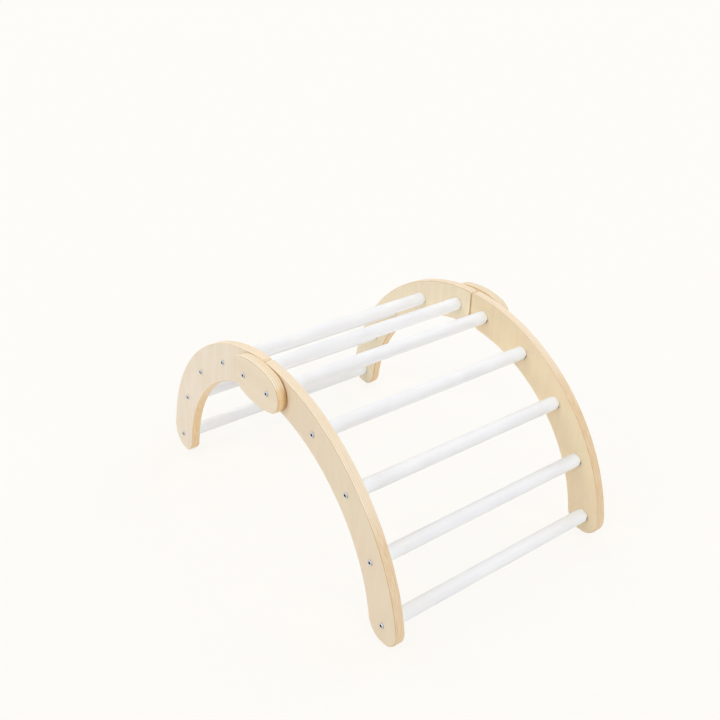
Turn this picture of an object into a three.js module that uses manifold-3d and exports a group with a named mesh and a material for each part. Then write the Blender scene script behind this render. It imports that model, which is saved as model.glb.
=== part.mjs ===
// Folding climbing arch: two curved ladder halves, each of two plywood panels and five
// dowel rungs, hinged at the crest on a pair of oval joint plates.
//
// Millimetres, +Z up. +X runs along the arch to the front foot, Y runs across the rungs
// and the floor is at zero height, under the middle of the arch. The left side is at -Y.

import * as THREE from 'three';
import * as BufferGeometryUtils from 'three/addons/utils/BufferGeometryUtils.js';
import Module from 'manifold-3d';

const wasm = await Module();
wasm.setup();

// Arch: the rung centres lie on one circle, the panel edges on two circles about its centre.
const rungsPerHalf = 5;
const rungCircleRadius = 428;
const rungPitch = 140.4;
const panelInsideRungs = 45.5;
const panelOutsideRungs = 46.5;
const footFlatDepth = 1;

// Boards: panels and joint plates are cut from the same sheet and rounded over.
const boardThickness = 22.5;
const boardEdgeRadius = 3;
const clearWidth = 577;

// Crest end of a panel: a stop face, then a round end that clears the other half.
const stopGap = 0.3;
const stopCornerRadius = 7.5;
const stopLowerHeight = 5;
const roundEndExtra = 1.2;
const roundEndClearance = 0.2;
const roundEndCornerRadius = 3.5;

// Joint plates: an oval with round ends about the pivots and a slight belly between them.
const plateEndRadius = 45;
const plateBelly = 6.5;

// Rungs
const rungDiameter = 32;
const rungEndChamfer = 2;

// Hardware: cap bolts with a hexagon socket, threaded inserts in the rung ends, washers.
const shankDiameter = 6;
const shankTipChamfer = 0.8;
const capDiameter = 13;
const capHeight = 2.4;
const capCrownDrop = 1;
const capCrownDiameter = 9.4;
const socketAcrossFlats = 4;
const socketDepth = 2;
const boltReachInRung = 13;
const insertLength = 15;
const insertDiameter = 9.4;
const rungBoreRunout = 4;
const washerDiameter = 18;
const washerThickness = 0.5;

// Clearances and faceting
const seatGap = 0.3;
const cutOverrun = 1;
const facetSag = 0.25;
const smallFacetSag = 0.18;
const samePointShare = 0.01;
const edgeFacets = 2;
const hexagonSides = 6;

// Places that follow from the sizes above
const innerEdgeRadius = rungCircleRadius - panelInsideRungs;
const outerEdgeRadius = rungCircleRadius + panelOutsideRungs;
const roundEndRadius = panelInsideRungs + roundEndExtra;
const pivotOffset = roundEndRadius + roundEndClearance + stopGap;
const crestAngle = Math.asin(pivotOffset / rungCircleRadius);
const rungStep = 2 * Math.asin(rungPitch / 2 / rungCircleRadius);
const footAngle = crestAngle + (rungsPerHalf - 1) * rungStep;
const footRadius = (outerEdgeRadius - innerEdgeRadius) / 2;
const footCentreRadius = innerEdgeRadius + footRadius;
const footCentreHeight = footRadius - footFlatDepth;
const archCentre = new THREE.Vector2(0, footCentreHeight - footCentreRadius * Math.cos(footAngle));
const pivot = onCircle(rungCircleRadius, crestAngle);

const innerFace = clearWidth / 2;
const outerFace = innerFace + boardThickness;
const plateInnerFace = outerFace + washerThickness + 2 * seatGap;
const plateOuterFace = plateInnerFace + boardThickness;
const boreDiameter = shankDiameter + 2 * seatGap;

const finishes = {
  plywood: { color: 0xe6d7be, roughness: 0.55, metalness: 0 },
  whitePaint: { color: 0xf3f3f5, roughness: 0.4, metalness: 0 },
  zinc: { color: 0xb8bcc2, roughness: 0.3, metalness: 1 },
  brass: { color: 0xc2a25c, roughness: 0.4, metalness: 1 },
};

// A point at a radius and an angle from the vertical about the centre of the arch.
function onCircle(radius, angle) {
  return new THREE.Vector2(Math.sin(angle), Math.cos(angle)).multiplyScalar(radius).add(archCentre);
}

// How many chords follow an arc without straying further than the given sag.
function chordCount(radius, sweep, sag) {
  const step = 2 * Math.acos(1 - sag / radius);
  return Math.max(1, Math.ceil(Math.abs(sweep) / step));
}

// The points of an arc, both ends included, with angles counted from +X towards +Z.
function arc(centre, radius, from, to, sag = facetSag) {
  const count = chordCount(radius, to - from, sag);
  const points = [];
  for (let i = 0; i <= count; i += 1) {
    const angle = from + ((to - from) * i) / count;
    points.push(new THREE.Vector2(Math.cos(angle), Math.sin(angle)).multiplyScalar(radius).add(centre));
  }
  return points;
}

// An outline of several stretches, without the doubled points where one meets the next.
function joined(stretches) {
  const samePoint = facetSag * samePointShare;
  const all = stretches.flat();
  return all.filter((point, i) => point.distanceTo(all.at(i - 1)) > samePoint);
}

// Outline of the front panel in X and Z, from the stop face round the foot and back.
function panelOutline() {
  const quarter = Math.PI / 2;
  const stopCorner = new THREE.Vector2(stopGap + stopCornerRadius, 0);
  const cornerReach = outerEdgeRadius - stopCornerRadius;
  stopCorner.y = archCentre.y + Math.sqrt(cornerReach ** 2 - stopCorner.x ** 2);
  const outerStart = Math.atan2(stopCorner.y - archCentre.y, stopCorner.x);

  const footCentre = onCircle(footCentreRadius, footAngle);
  const footOut = quarter - footAngle;
  const flatOut = -Math.asin(footCentre.y / footRadius);

  const heelReach = innerEdgeRadius + roundEndCornerRadius;
  const roundReach = roundEndRadius - roundEndCornerRadius;
  const heelCosine = (rungCircleRadius ** 2 + heelReach ** 2 - roundReach ** 2)
    / (2 * rungCircleRadius * heelReach);
  const heel = onCircle(heelReach, crestAngle - Math.acos(heelCosine));
  const heelFromArch = Math.atan2(heel.y - archCentre.y, heel.x);
  const heelFromPivot = Math.atan2(heel.y - pivot.y, heel.x - pivot.x) + 2 * Math.PI;

  const stopFoot = new THREE.Vector2(stopGap, pivot.y + stopLowerHeight);
  const stopFootReach = stopFoot.distanceTo(pivot);
  const stopFootAngle = Math.atan2(stopFoot.y - pivot.y, stopFoot.x - pivot.x);
  const tangentAngle = stopFootAngle + Math.acos(roundEndRadius / stopFootReach);

  return joined([
    arc(stopCorner, stopCornerRadius, 2 * quarter, outerStart),
    arc(archCentre, outerEdgeRadius, outerStart, footOut),
    arc(footCentre, footRadius, footOut, flatOut),
    arc(footCentre, footRadius, -2 * quarter - flatOut, footOut - 2 * quarter),
    arc(archCentre, innerEdgeRadius, footOut, heelFromArch),
    arc(heel, roundEndCornerRadius, heelFromArch + 2 * quarter, heelFromPivot),
    arc(pivot, roundEndRadius, heelFromPivot, tangentAngle),
    [stopFoot],
  ]);
}

// Outline of a joint plate in X and Z about the point midway between the pivots.
function plateOutline() {
  const bellyDrop = (pivotOffset ** 2 - plateBelly ** 2) / (2 * plateBelly);
  const bellyRadius = bellyDrop + plateBelly + plateEndRadius;
  const endAngle = Math.atan2(bellyDrop, pivotOffset);
  const upperCentre = new THREE.Vector2(0, -bellyDrop);
  const lowerCentre = new THREE.Vector2(0, bellyDrop);
  const frontPivot = new THREE.Vector2(pivotOffset, 0);
  const rearPivot = new THREE.Vector2(-pivotOffset, 0);
  return joined([
    arc(frontPivot, plateEndRadius, -endAngle, endAngle),
    arc(upperCentre, bellyRadius, endAngle, Math.PI - endAngle),
    arc(rearPivot, plateEndRadius, Math.PI - endAngle, Math.PI + endAngle),
    arc(lowerCentre, bellyRadius, Math.PI + endAngle, 2 * Math.PI - endAngle),
  ]);
}

// A rounded-over board of the given outline, centred on the plane of X and Z.
function boardGeometry(outline) {
  const geometry = new THREE.ExtrudeGeometry(new THREE.Shape(outline), {
    depth: boardThickness - 2 * boardEdgeRadius,
    bevelThickness: boardEdgeRadius,
    bevelSize: boardEdgeRadius,
    bevelOffset: -boardEdgeRadius,
    bevelSegments: edgeFacets,
  });
  geometry.translate(0, 0, boardEdgeRadius - boardThickness / 2);
  geometry.rotateX(Math.PI / 2);
  return geometry;
}

// A closed geometry as a solid, with shared corners merged and collapsed faces left out.
function toSolid(geometry) {
  const bare = geometry.clone();
  bare.deleteAttribute('normal');
  bare.deleteAttribute('uv');
  const merged = BufferGeometryUtils.mergeVertices(bare);
  const corners = merged.index.array;
  const kept = [];
  for (let i = 0; i < corners.length; i += 3) {
    const [a, b, c] = [corners[i], corners[i + 1], corners[i + 2]];
    if (a !== b && b !== c && c !== a) kept.push(a, b, c);
  }
  return new wasm.Manifold(new wasm.Mesh({
    numProp: 3,
    vertProperties: merged.attributes.position.array,
    triVerts: new Uint32Array(kept),
  }));
}

// A solid back as a geometry.
function toGeometry(solid) {
  const mesh = solid.getMesh();
  const geometry = new THREE.BufferGeometry();
  geometry.setAttribute('position', new THREE.BufferAttribute(mesh.vertProperties, 3));
  geometry.setIndex(new THREE.BufferAttribute(mesh.triVerts, 1));
  return geometry;
}

// A board with a bolt bore through it at each of the given points.
function boredBoard(outline, centres) {
  let solid = toSolid(boardGeometry(outline));
  const sides = chordCount(boreDiameter / 2, 2 * Math.PI, smallFacetSag);
  for (const centre of centres) {
    const drill = new THREE.CylinderGeometry(
      boreDiameter / 2,
      boreDiameter / 2,
      boardThickness + 2 * cutOverrun,
      sides,
    );
    drill.translate(centre.x, 0, centre.y);
    solid = solid.subtract(toSolid(drill));
  }
  return toGeometry(solid);
}

// A turned piece about Y, from a profile of radius and height.
function turned(profile, sag) {
  const widest = Math.max(...profile.map((point) => point.x));
  return new THREE.LatheGeometry(profile, chordCount(widest, 2 * Math.PI, sag));
}

// A rung along Y with eased ends and a blind bore in each for its insert.
function rungGeometry() {
  const radius = rungDiameter / 2;
  const half = innerFace - seatGap;
  const boreRadius = insertDiameter / 2 + seatGap;
  const boreFloor = half - seatGap - insertLength - rungBoreRunout;
  const upperEnd = [
    new THREE.Vector2(0, boreFloor),
    new THREE.Vector2(boreRadius, boreFloor),
    new THREE.Vector2(boreRadius, half),
    new THREE.Vector2(radius - rungEndChamfer, half),
    new THREE.Vector2(radius, half - rungEndChamfer),
  ];
  const lowerEnd = upperEnd.map((point) => new THREE.Vector2(point.x, -point.y));
  return turned([...lowerEnd, ...upperEnd.reverse()], facetSag);
}

// A cap bolt whose cap sits on the plane y = 0, with its shank towards -Y.
function boltGeometry(shankLength) {
  const capRadius = capDiameter / 2;
  const shankRadius = shankDiameter / 2;
  const body = turned([
    new THREE.Vector2(0, -shankLength),
    new THREE.Vector2(shankRadius - shankTipChamfer, -shankLength),
    new THREE.Vector2(shankRadius, shankTipChamfer - shankLength),
    new THREE.Vector2(shankRadius, 0),
    new THREE.Vector2(capRadius, 0),
    new THREE.Vector2(capRadius, capHeight - capCrownDrop),
    new THREE.Vector2(capCrownDiameter / 2, capHeight),
    new THREE.Vector2(0, capHeight),
  ], smallFacetSag);
  const socketRadius = socketAcrossFlats / 2 / Math.cos(Math.PI / hexagonSides);
  const socket = new THREE.CylinderGeometry(
    socketRadius,
    socketRadius,
    socketDepth + cutOverrun,
    hexagonSides,
  );
  socket.translate(0, capHeight - socketDepth + (socketDepth + cutOverrun) / 2, 0);
  return toGeometry(toSolid(body).subtract(toSolid(socket)));
}

// A ring about Y, centred on the plane of X and Z.
function ringGeometry(outerDiameter, innerDiameter, length) {
  const outer = outerDiameter / 2;
  const inner = innerDiameter / 2;
  const half = length / 2;
  const profile = [
    new THREE.Vector2(inner, -half),
    new THREE.Vector2(outer, -half),
    new THREE.Vector2(outer, half),
    new THREE.Vector2(inner, half),
    new THREE.Vector2(inner, -half),
  ];
  return turned(profile, smallFacetSag);
}

// A named piece with a finish of its own.
function piece(name, geometry, finish, x, y, z) {
  const mesh = new THREE.Mesh(geometry, new THREE.MeshStandardMaterial(finish));
  mesh.name = name;
  mesh.position.set(x, y, z);
  return mesh;
}

const rungCentres = [];
for (let i = 0; i < rungsPerHalf; i += 1) {
  rungCentres.push(onCircle(rungCircleRadius, crestAngle + i * rungStep));
}

const panel = boredBoard(panelOutline(), rungCentres);
const rung = rungGeometry();
const insert = ringGeometry(insertDiameter, boreDiameter, insertLength);

// One half of the arch, drawn as the front half. The rear half is the same, turned about.
function archHalf(halfName, sideNames) {
  const half = new THREE.Group();
  const tip = innerFace - seatGap - boltReachInRung;
  for (const [sideName, outward] of sideNames) {
    const panelMiddle = outward * (innerFace + boardThickness / 2);
    half.add(piece(`${halfName}_${sideName}_panel`, panel, finishes.plywood, 0, panelMiddle, 0));
    rungCentres.forEach((centre, i) => {
      const capSeat = (i === 0 ? plateOuterFace : outerFace) + seatGap;
      const kind = i === 0 ? 'pivot_bolt' : 'rung_bolt';
      const suffix = `${halfName}_${sideName}_${i + 1}`;
      const bolt = piece(`${kind}_${suffix}`, boltGeometry(capSeat - tip), finishes.zinc,
        centre.x, outward * capSeat, centre.y);
      bolt.rotation.x = outward > 0 ? 0 : Math.PI;
      half.add(bolt);
      const insertMiddle = outward * (innerFace - 2 * seatGap - insertLength / 2);
      const nut = piece(`insert_${suffix}`, insert, finishes.brass, centre.x, insertMiddle, centre.y);
      half.add(nut);
    });
  }
  rungCentres.forEach((centre, i) => {
    half.add(piece(`rung_${halfName}_${i + 1}`, rung, finishes.whitePaint, centre.x, 0, centre.y));
  });
  return half;
}

// The pair of joint plates with the washers that hold them off the panels.
function crestJoint() {
  const joint = new THREE.Group();
  const pivots = [new THREE.Vector2(pivotOffset, 0), new THREE.Vector2(-pivotOffset, 0)];
  const plate = boredBoard(plateOutline(), pivots);
  const washer = ringGeometry(washerDiameter, boreDiameter, washerThickness);
  for (const [sideName, outward] of [['left', -1], ['right', 1]]) {
    const plateMiddle = outward * (plateInnerFace + boardThickness / 2);
    joint.add(piece(`joint_plate_${sideName}`, plate, finishes.plywood, 0, plateMiddle, pivot.y));
    for (const [halfName, along] of [['front', 1], ['rear', -1]]) {
      const washerMiddle = outward * (outerFace + seatGap + washerThickness / 2);
      joint.add(piece(`pivot_washer_${halfName}_${sideName}`, washer, finishes.zinc,
        along * pivotOffset, washerMiddle, pivot.y));
    }
  }
  return joint;
}

const arch = new THREE.Group();
const frontHalf = archHalf('front', [['left', -1], ['right', 1]]);
const rearHalf = archHalf('rear', [['right', -1], ['left', 1]]);
rearHalf.rotation.z = Math.PI;
arch.add(frontHalf, rearHalf, crestJoint());

export default arch;
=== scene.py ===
"""Looks of a folding climbing arch, built around its fixed solids.

Two curved ladder halves of pale plywood with white rungs turn on a pair of oval joint
plates at the crest. Metres, +Z up: +X runs along the arch to the front feet, Y runs
across the rungs, and the left side is at -Y.
"""

from __future__ import annotations

import logging
import math
from abc import ABC, abstractmethod
from dataclasses import dataclass, field, replace
from enum import Enum
from typing import ClassVar, NamedTuple, Sequence, Union

import bmesh
import bpy
from mathutils import Matrix, Vector
from mathutils.geometry import tessellate_polygon


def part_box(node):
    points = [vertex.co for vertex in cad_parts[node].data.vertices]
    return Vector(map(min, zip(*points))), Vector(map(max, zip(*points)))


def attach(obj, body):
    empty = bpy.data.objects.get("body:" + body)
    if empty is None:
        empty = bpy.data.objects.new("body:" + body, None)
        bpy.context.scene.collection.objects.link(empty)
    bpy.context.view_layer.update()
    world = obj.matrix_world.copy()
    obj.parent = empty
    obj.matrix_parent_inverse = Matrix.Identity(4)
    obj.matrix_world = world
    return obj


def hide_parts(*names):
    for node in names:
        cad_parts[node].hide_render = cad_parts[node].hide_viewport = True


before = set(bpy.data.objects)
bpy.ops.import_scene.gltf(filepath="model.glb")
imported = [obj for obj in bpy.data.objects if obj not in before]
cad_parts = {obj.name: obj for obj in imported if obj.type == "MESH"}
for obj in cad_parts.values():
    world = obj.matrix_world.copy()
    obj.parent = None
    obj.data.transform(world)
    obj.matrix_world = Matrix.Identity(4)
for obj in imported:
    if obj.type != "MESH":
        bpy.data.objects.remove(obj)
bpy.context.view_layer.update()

LOG = logging.getLogger("climbing_arch")

# X and Z of a board's outline, or radius and place along Y of a turned profile
Point = tuple[float, float]
# X, Y and Z
Place = tuple[float, float, float]
# Linear red, green, blue and alpha
Colour = tuple[float, float, float, float]
Socket = bpy.types.NodeSocket
# What a node's input takes: a link or a constant
Feed = Union[Socket, float, Sequence[float]]
Ring = list[bmesh.types.BMVert]

QUARTER = math.pi / 2
WHITE = (1.0, 1.0, 1.0, 1.0)
SHARP_ANGLE = math.radians(35)
HEXAGON_SIDES = 6
MILLIMETRES_PER_METRE = 1000
RADIUS_NAME = "turned_radius"
# Marks the inside of a bolt's socket, where shade is painted.
SOCKET_NAME = "socket_depth"


class Sign(Enum):
    """A choice whose value is the sign of a coordinate there."""

    @property
    def label(self) -> str:
        """The choice's name in node and piece names."""
        return self.name.lower()


class Half(Sign):
    """A half of the arch. Its value is the sign of X on its side of the crest."""

    FRONT = 1
    REAR = -1

    @property
    def body(self) -> str:
        """The body that the half's pieces ride on."""
        return f"{self.label}_half"


class Side(Sign):
    """A side of the arch. Its value is the sign of Y on that side."""

    LEFT = -1
    RIGHT = 1

    def placed(self, faces: tuple[float, float]) -> tuple[float, float]:
        """Place a board's two faces on this side, the lower one first."""
        return tuple(sorted(self.value * face for face in faces))


class Grain(Enum):
    """The direction of a veneer's fibres. Its value is the number of the axis."""

    UPRIGHT = 2
    LENGTHWISE = 0

    @property
    def across(self) -> Grain:
        """The direction that crosses this one in the board."""
        return Grain.LENGTHWISE if self is Grain.UPRIGHT else Grain.UPRIGHT


class Ramp(NamedTuple):
    """A smooth ramp from one level to another.

    Attributes:
        low: The reading at which the result leaves start.
        high: The reading at which the result reaches end.
        start: The level at low and before.
        end: The level at high and after.
    """

    low: float
    high: float
    start: float = 0.0
    end: float = 1.0


def srgb(red: int, green: int, blue: int) -> Colour:
    """Turn a display colour into the linear colour that shaders use.

    Args:
        red: Red from 0 to 255.
        green: Green from 0 to 255.
        blue: Blue from 0 to 255.

    Returns:
        Linear red, green and blue, and an alpha of 1.
    """
    def linear(level: int) -> float:
        """One channel, by the standard transfer curve."""
        share = level / 255
        return share / 12.92 if share <= 0.04045 else ((share + 0.055) / 1.055) ** 2.4

    return (linear(red), linear(green), linear(blue), 1.0)


def open_socket(sockets: Sequence[Socket], name: str) -> Socket:
    """Find the socket of that name which the node's settings leave in use.

    Args:
        sockets: A node's inputs or outputs.
        name: The socket's name.

    Returns:
        The first enabled socket with the name.
    """
    return next(socket for socket in sockets if socket.name == name and socket.enabled)


class NodeBench:
    """Adds nodes to one node tree and wires them."""

    def __init__(self, tree: bpy.types.NodeTree) -> None:
        """Start on an emptied tree.

        Args:
            tree: The tree of a material, a world or a Geometry Nodes group.
        """
        self.tree = tree
        tree.nodes.clear()

    def feed(self, socket: Socket, value: Feed) -> None:
        """Link a socket to the input, or set the input to a constant.

        Args:
            socket: The input socket.
            value: An output socket, a number or a list of numbers.
        """
        if isinstance(value, bpy.types.NodeSocket):
            self.tree.links.new(value, socket)
        else:
            socket.default_value = value

    def add(self, kind: str, inputs: dict[str, Feed] | None = None, **settings: object) -> bpy.types.Node:
        """Add a node.

        Args:
            kind: The node's type name.
            inputs: What each named input is fed with.
            **settings: Properties of the node, set before its inputs are fed.

        Returns:
            The new node.
        """
        node = self.tree.nodes.new(kind)
        for name, value in settings.items():
            setattr(node, name, value)
        for name, value in (inputs or {}).items():
            self.feed(open_socket(node.inputs, name), value)
        return node

    def math(self, operation: str, first: Feed, second: Feed = 0.0) -> Socket:
        """Add a Math node.

        Args:
            operation: The operation's name.
            first: The first value.
            second: The second value, where the operation takes one.

        Returns:
            The result.
        """
        node = self.add("ShaderNodeMath", operation=operation)
        self.feed(node.inputs[0], first)
        self.feed(node.inputs[1], second)
        return node.outputs[0]

    def plus(self, first: Feed, second: Feed) -> Socket:
        """Add two values."""
        return self.math("ADD", first, second)

    def minus(self, first: Feed, second: Feed) -> Socket:
        """Take the second value from the first."""
        return self.math("SUBTRACT", first, second)

    def times(self, first: Feed, second: Feed) -> Socket:
        """Multiply two values."""
        return self.math("MULTIPLY", first, second)

    def size(self, value: Feed) -> Socket:
        """Drop a value's sign."""
        return self.math("ABSOLUTE", value)

    def hypotenuse(self, first: Feed, second: Feed) -> Socket:
        """Measure the long side of a triangle by its two short ones."""
        return self.math("SQRT", self.plus(self.times(first, first), self.times(second, second)))

    def split(self, vector: Socket) -> tuple[Socket, ...]:
        """Take a vector apart into its X, Y and Z."""
        return tuple(self.add("ShaderNodeSeparateXYZ", {"Vector": vector}).outputs)

    def remap(self, value: Feed, ramp: Ramp) -> Socket:
        """Map a value onto a ramp.

        Args:
            value: The value to map.
            ramp: The ramp.

        Returns:
            The ramp's level at the value.
        """
        node = self.add(
            "ShaderNodeMapRange",
            {
                "Value": value,
                "From Min": ramp.low,
                "From Max": ramp.high,
                "To Min": ramp.start,
                "To Max": ramp.end,
            },
            interpolation_type="SMOOTHSTEP",
        )
        return open_socket(node.outputs, "Result")

    def noise(
        self,
        place: Feed,
        repeats: Sequence[float],
        shift: Sequence[float] = (0, 0, 0),
        detail: float = 2.0,
        roughness: float = 0.5,
        swirl: float = 0.0,
    ) -> Socket:
        """Read a Noise Texture at a stretched place.

        Args:
            place: The place, in metres.
            repeats: Repeats per metre along X, Y and Z.
            shift: What is added to the place after that.
            detail: Octaves of noise.
            roughness: How strong the finer octaves are.
            swirl: How far the pattern is distorted.

        Returns:
            A value from 0 to 1, mostly near one half.
        """
        stretched = self.add("ShaderNodeMapping", {"Vector": place, "Scale": repeats, "Location": shift})
        node = self.add(
            "ShaderNodeTexNoise",
            {
                "Vector": stretched.outputs["Vector"],
                "Scale": 1.0,
                "Detail": detail,
                "Roughness": roughness,
                "Distortion": swirl,
            },
        )
        return open_socket(node.outputs, "Fac")

    def mix(self, kind: str, share: Feed, first: Feed, second: Feed) -> Socket:
        """Mix two values of one kind.

        Args:
            kind: RGBA for colours, FLOAT for numbers.
            share: 0 for the first value, 1 for the second.
            first: The first value.
            second: The second value.

        Returns:
            The mixed value.
        """
        node = self.add("ShaderNodeMix", {"Factor": share, "A": first, "B": second}, data_type=kind)
        return open_socket(node.outputs, "Result")

    def glaze(self, ground: Feed, *coats: tuple[Feed, Feed]) -> Socket:
        """Lay colours over one another.

        Args:
            ground: The colour beneath them.
            *coats: Each coat's share and colour, the lowest coat first.

        Returns:
            The colour that shows.
        """
        for share, colour in coats:
            ground = self.mix("RGBA", share, ground, colour)
        return ground

    def bump(self, height: Feed, depth: float) -> Socket:
        """Turn a height from 0 to 1 into a bumped normal.

        Args:
            height: The height.
            depth: How deep a full step is, in metres.

        Returns:
            The normal.
        """
        node = self.add("ShaderNodeBump", {"Strength": 1.0, "Distance": depth, "Height": height})
        return node.outputs["Normal"]

    def show(self, shader: Socket, output: str = "ShaderNodeOutputMaterial") -> None:
        """Feed a shader to the output of the tree.

        Args:
            shader: The finished shader.
            output: The type name of the output node.
        """
        self.add(output, {"Surface": shader})


def new_material(name: str) -> bpy.types.Material:
    """Make an empty node material.

    Args:
        name: The material's name.

    Returns:
        The material.
    """
    material = bpy.data.materials.new(name)
    material.use_nodes = True
    return material


class Finish(ABC):
    """A finish made by one Principled shader.

    Attributes:
        name: The material's name.
    """

    name: str

    @abstractmethod
    def inputs(self, bench: NodeBench) -> dict[str, Feed]:
        """Work out what feeds the shader.

        Args:
            bench: The material's bench.

        Returns:
            A feed for each named input.
        """

    def material(self) -> bpy.types.Material:
        """Build the material.

        Returns:
            The finished material.
        """
        material = new_material(self.name)
        bench = NodeBench(material.node_tree)
        surface = bench.add("ShaderNodeBsdfPrincipled", self.inputs(bench))
        bench.show(surface.outputs["BSDF"])
        return material


class Sheet(Enum):
    """A sheet of plywood that boards are cut from. Its value is its face veneer's colour."""

    ROSY = srgb(249, 234, 213)
    WHEAT = srgb(241, 223, 195)
    HONEY = srgb(247, 225, 187)
    CREAM = srgb(250, 235, 205)
    BISCUIT = srgb(246, 229, 202)


@dataclass(frozen=True)
class BoardReading:
    """What a board's finish reads of the spot that it shades.

    Attributes:
        place: Object coordinates.
        spot: Their X, Y and Z.
        normal: The X, Y and Z of the surface's normal.
        depth: How deep the spot lies below the board's outer face.
        from_face: How far it lies from the nearer face.
        waver: How far the layers stray there.
        layer: The layer's number.
        glue_line: 1 on the glue line between two layers, 0 away from it.
        crosswise: 1 in the layers whose fibres cross those of the faces, 0 in the others.
        face_fibres: The streaks of the face veneers.
        fibres: The streaks of the layer.
        cut_across: How squarely the surface cuts the layer's fibres.
        steep: 1 where the edge stands steep, 0 where it lies level.
    """

    place: Socket
    spot: tuple[Socket, ...]
    normal: tuple[Socket, ...]
    depth: Socket
    from_face: Socket
    waver: Socket
    layer: Socket
    glue_line: Socket
    crosswise: Socket
    face_fibres: Socket
    fibres: Socket
    cut_across: Socket
    steep: Socket


@dataclass(frozen=True)
class PlywoodFinish(Finish):
    """Clear matt lacquer over pale plywood whose layers show on every cut edge.

    Attributes:
        name: The material's name.
        sheet: The sheet that the board is cut from.
        outer_face: The distance of the board's outer face from the middle of the arch.
        thickness: The board's thickness.
        grain: The direction of the face veneers' fibres.
        seed: Which stretch of the patterns the board shows.
        bend: The height of the middle of the board's bend and the radius within which its
            hollow side lies, or None for a straight board, whose whole edge counts as hollow.
        bend_fade: How far beyond that radius the hollow side fades out.
        veneer_shade: The face veneer where its figure is darkest.
        green_cast: A cool patch in the veneer.
        pink_cast: A warm patch in the veneer.
        light_ply: Every second layer on a cut edge, near the outer face.
        dull_ply: The same near the inner face.
        dull_depth: The share of the thickness at which they are fully dull.
        dark_ply: The layers between them.
        steep_ply: Painted shade that all lean towards where the edge stands steep.
        steep_share: How far they lean towards that painted shade there.
        steep_from: The edge's rise below which they start to.
        steep_fade: How much further down they lean fully.
        under_ply: Painted warm shade that all lean towards where the edge faces down on the hollow side.
        under_share: How far they lean towards that painted shade there.
        under_turn: The normal's Z where they start to and where they lean fully.
        sheltered: Painted shade on a plate's edge beside the panel, and a painted contact shadow on a foot
            near the floor.
        shelter: How far the edge leans towards that painted shade beside the inner face, and how clearly
            the painted seam shade shows.
        shelter_turn: The normal's Z where it starts to and where it leans fully.
        scuff_height: How far up the foot the painted contact shadow reaches.
        straw: What single layers and their fibres lean towards.
        rose: What other layers lean towards.
        vein: The dark streaks that the saw leaves along an edge.
        pale_vein: The pale streaks between them.
        vein_width: The width of such a streak.
        vein_length: The length of such a streak.
        glue: The glue lines between layers.
        glue_width: The width of half a glue line, as a share of a layer.
        glue_share: How clearly a glue line shows.
        glue_groove: How deep it is sunk, as a share of the relief.
        edge_line: The line where the round-over cuts through the face veneer.
        line_share: How clearly that line shows.
        level_line: How much of that it shows where the edge lies level.
        steep_line: How much of that it shows where the edge stands steep.
        line_turn: The normal's X where it still shows by half and where it shows fully; the halving on
            edges that face -X is painted light from that side.
        line_depth: How deep the line goes where the edge lies level.
        steep_depth: How much deeper it goes where the edge stands steep.
        seam_line: A painted shade line along the edge's inner corner, where the plate meets the panel.
        seam_width: The width of that line.
        seam_core: The share of the width that shows fully.
        face_ply: The thickness of a face veneer.
        inner_ply: The thickness of a layer between them.
        skin: How deep a flat face's colour goes.
        layer_waver: How far the layers stray from their places.
        waver_repeats: How often they stray, per metre.
        fibre_width: The width of a streak of the fibres.
        fibre_length: The length of a streak of the fibres.
        figure_width: The width of a bow in the veneer's figure.
        figure_length: The length of a bow in the figure.
        figure_lines: How many lines of the figure lie in a bow.
        figure_share: How clearly the figure shows.
        patch_size: The size of a cool or warm patch.
        cast_share: How clearly such a patch shows.
        relief: How deep the streaks stand out.
        COOL_PATCH: How the patch noise turns cool.
        WARM_PATCH: How it turns warm.
        STREAK: How the fibre noise turns to dark streaks.
        FACE_STREAK: The same on a flat face.
        STRAW_LAYER: How a layer's draw turns to straw.
        ROSE_LAYER: How it turns to rose.
        CUT_STREAK: How clearly streaks show as the surface cuts across the fibres.
        CUT_RELIEF: How much relief they keep there.
        UNDERMOST: How the painted shade of an edge that faces down fades where it faces straight down.
        SCUFF: How clearly the painted contact shadow on the foot shows as the edge turns down.
        DARK_VEIN: How the vein noise turns to dark streaks.
        LIGHT_VEIN: How it turns to pale streaks.
        STEEP_VEIN: How clearly both show as the edge steepens.
        LINE_FADE: How the line at the round-over fades with its depth.
        SATIN: How rough the lacquer is over the fibres.
    """

    COOL_PATCH: ClassVar[Ramp] = Ramp(0.5, 0.8)
    WARM_PATCH: ClassVar[Ramp] = Ramp(0.5, 0.2)
    STREAK: ClassVar[Ramp] = Ramp(0.42, 0.75)
    FACE_STREAK: ClassVar[Ramp] = Ramp(0.42, 0.75, 0.0, 0.3)
    STRAW_LAYER: ClassVar[Ramp] = Ramp(0.55, 1.0, 0.0, 0.2)
    ROSE_LAYER: ClassVar[Ramp] = Ramp(0.45, 0.0, 0.0, 0.3)
    CUT_STREAK: ClassVar[Ramp] = Ramp(0.4, 0.9, 0.45, 0.03)
    CUT_RELIEF: ClassVar[Ramp] = Ramp(0.4, 0.9, 1.0, 0.2)
    UNDERMOST: ClassVar[Ramp] = Ramp(-0.5, -0.85, 1.0, 0.6)
    SCUFF: ClassVar[Ramp] = Ramp(-0.25, -0.6, 0.0, 0.85)
    DARK_VEIN: ClassVar[Ramp] = Ramp(0.5, 0.64)
    LIGHT_VEIN: ClassVar[Ramp] = Ramp(0.5, 0.36)
    STEEP_VEIN: ClassVar[Ramp] = Ramp(0.0, 1.0, 0.15, 0.6)
    LINE_FADE: ClassVar[Ramp] = Ramp(1.0, 0.5)
    SATIN: ClassVar[Ramp] = Ramp(0.3, 0.7, 0.44, 0.56)

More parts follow.
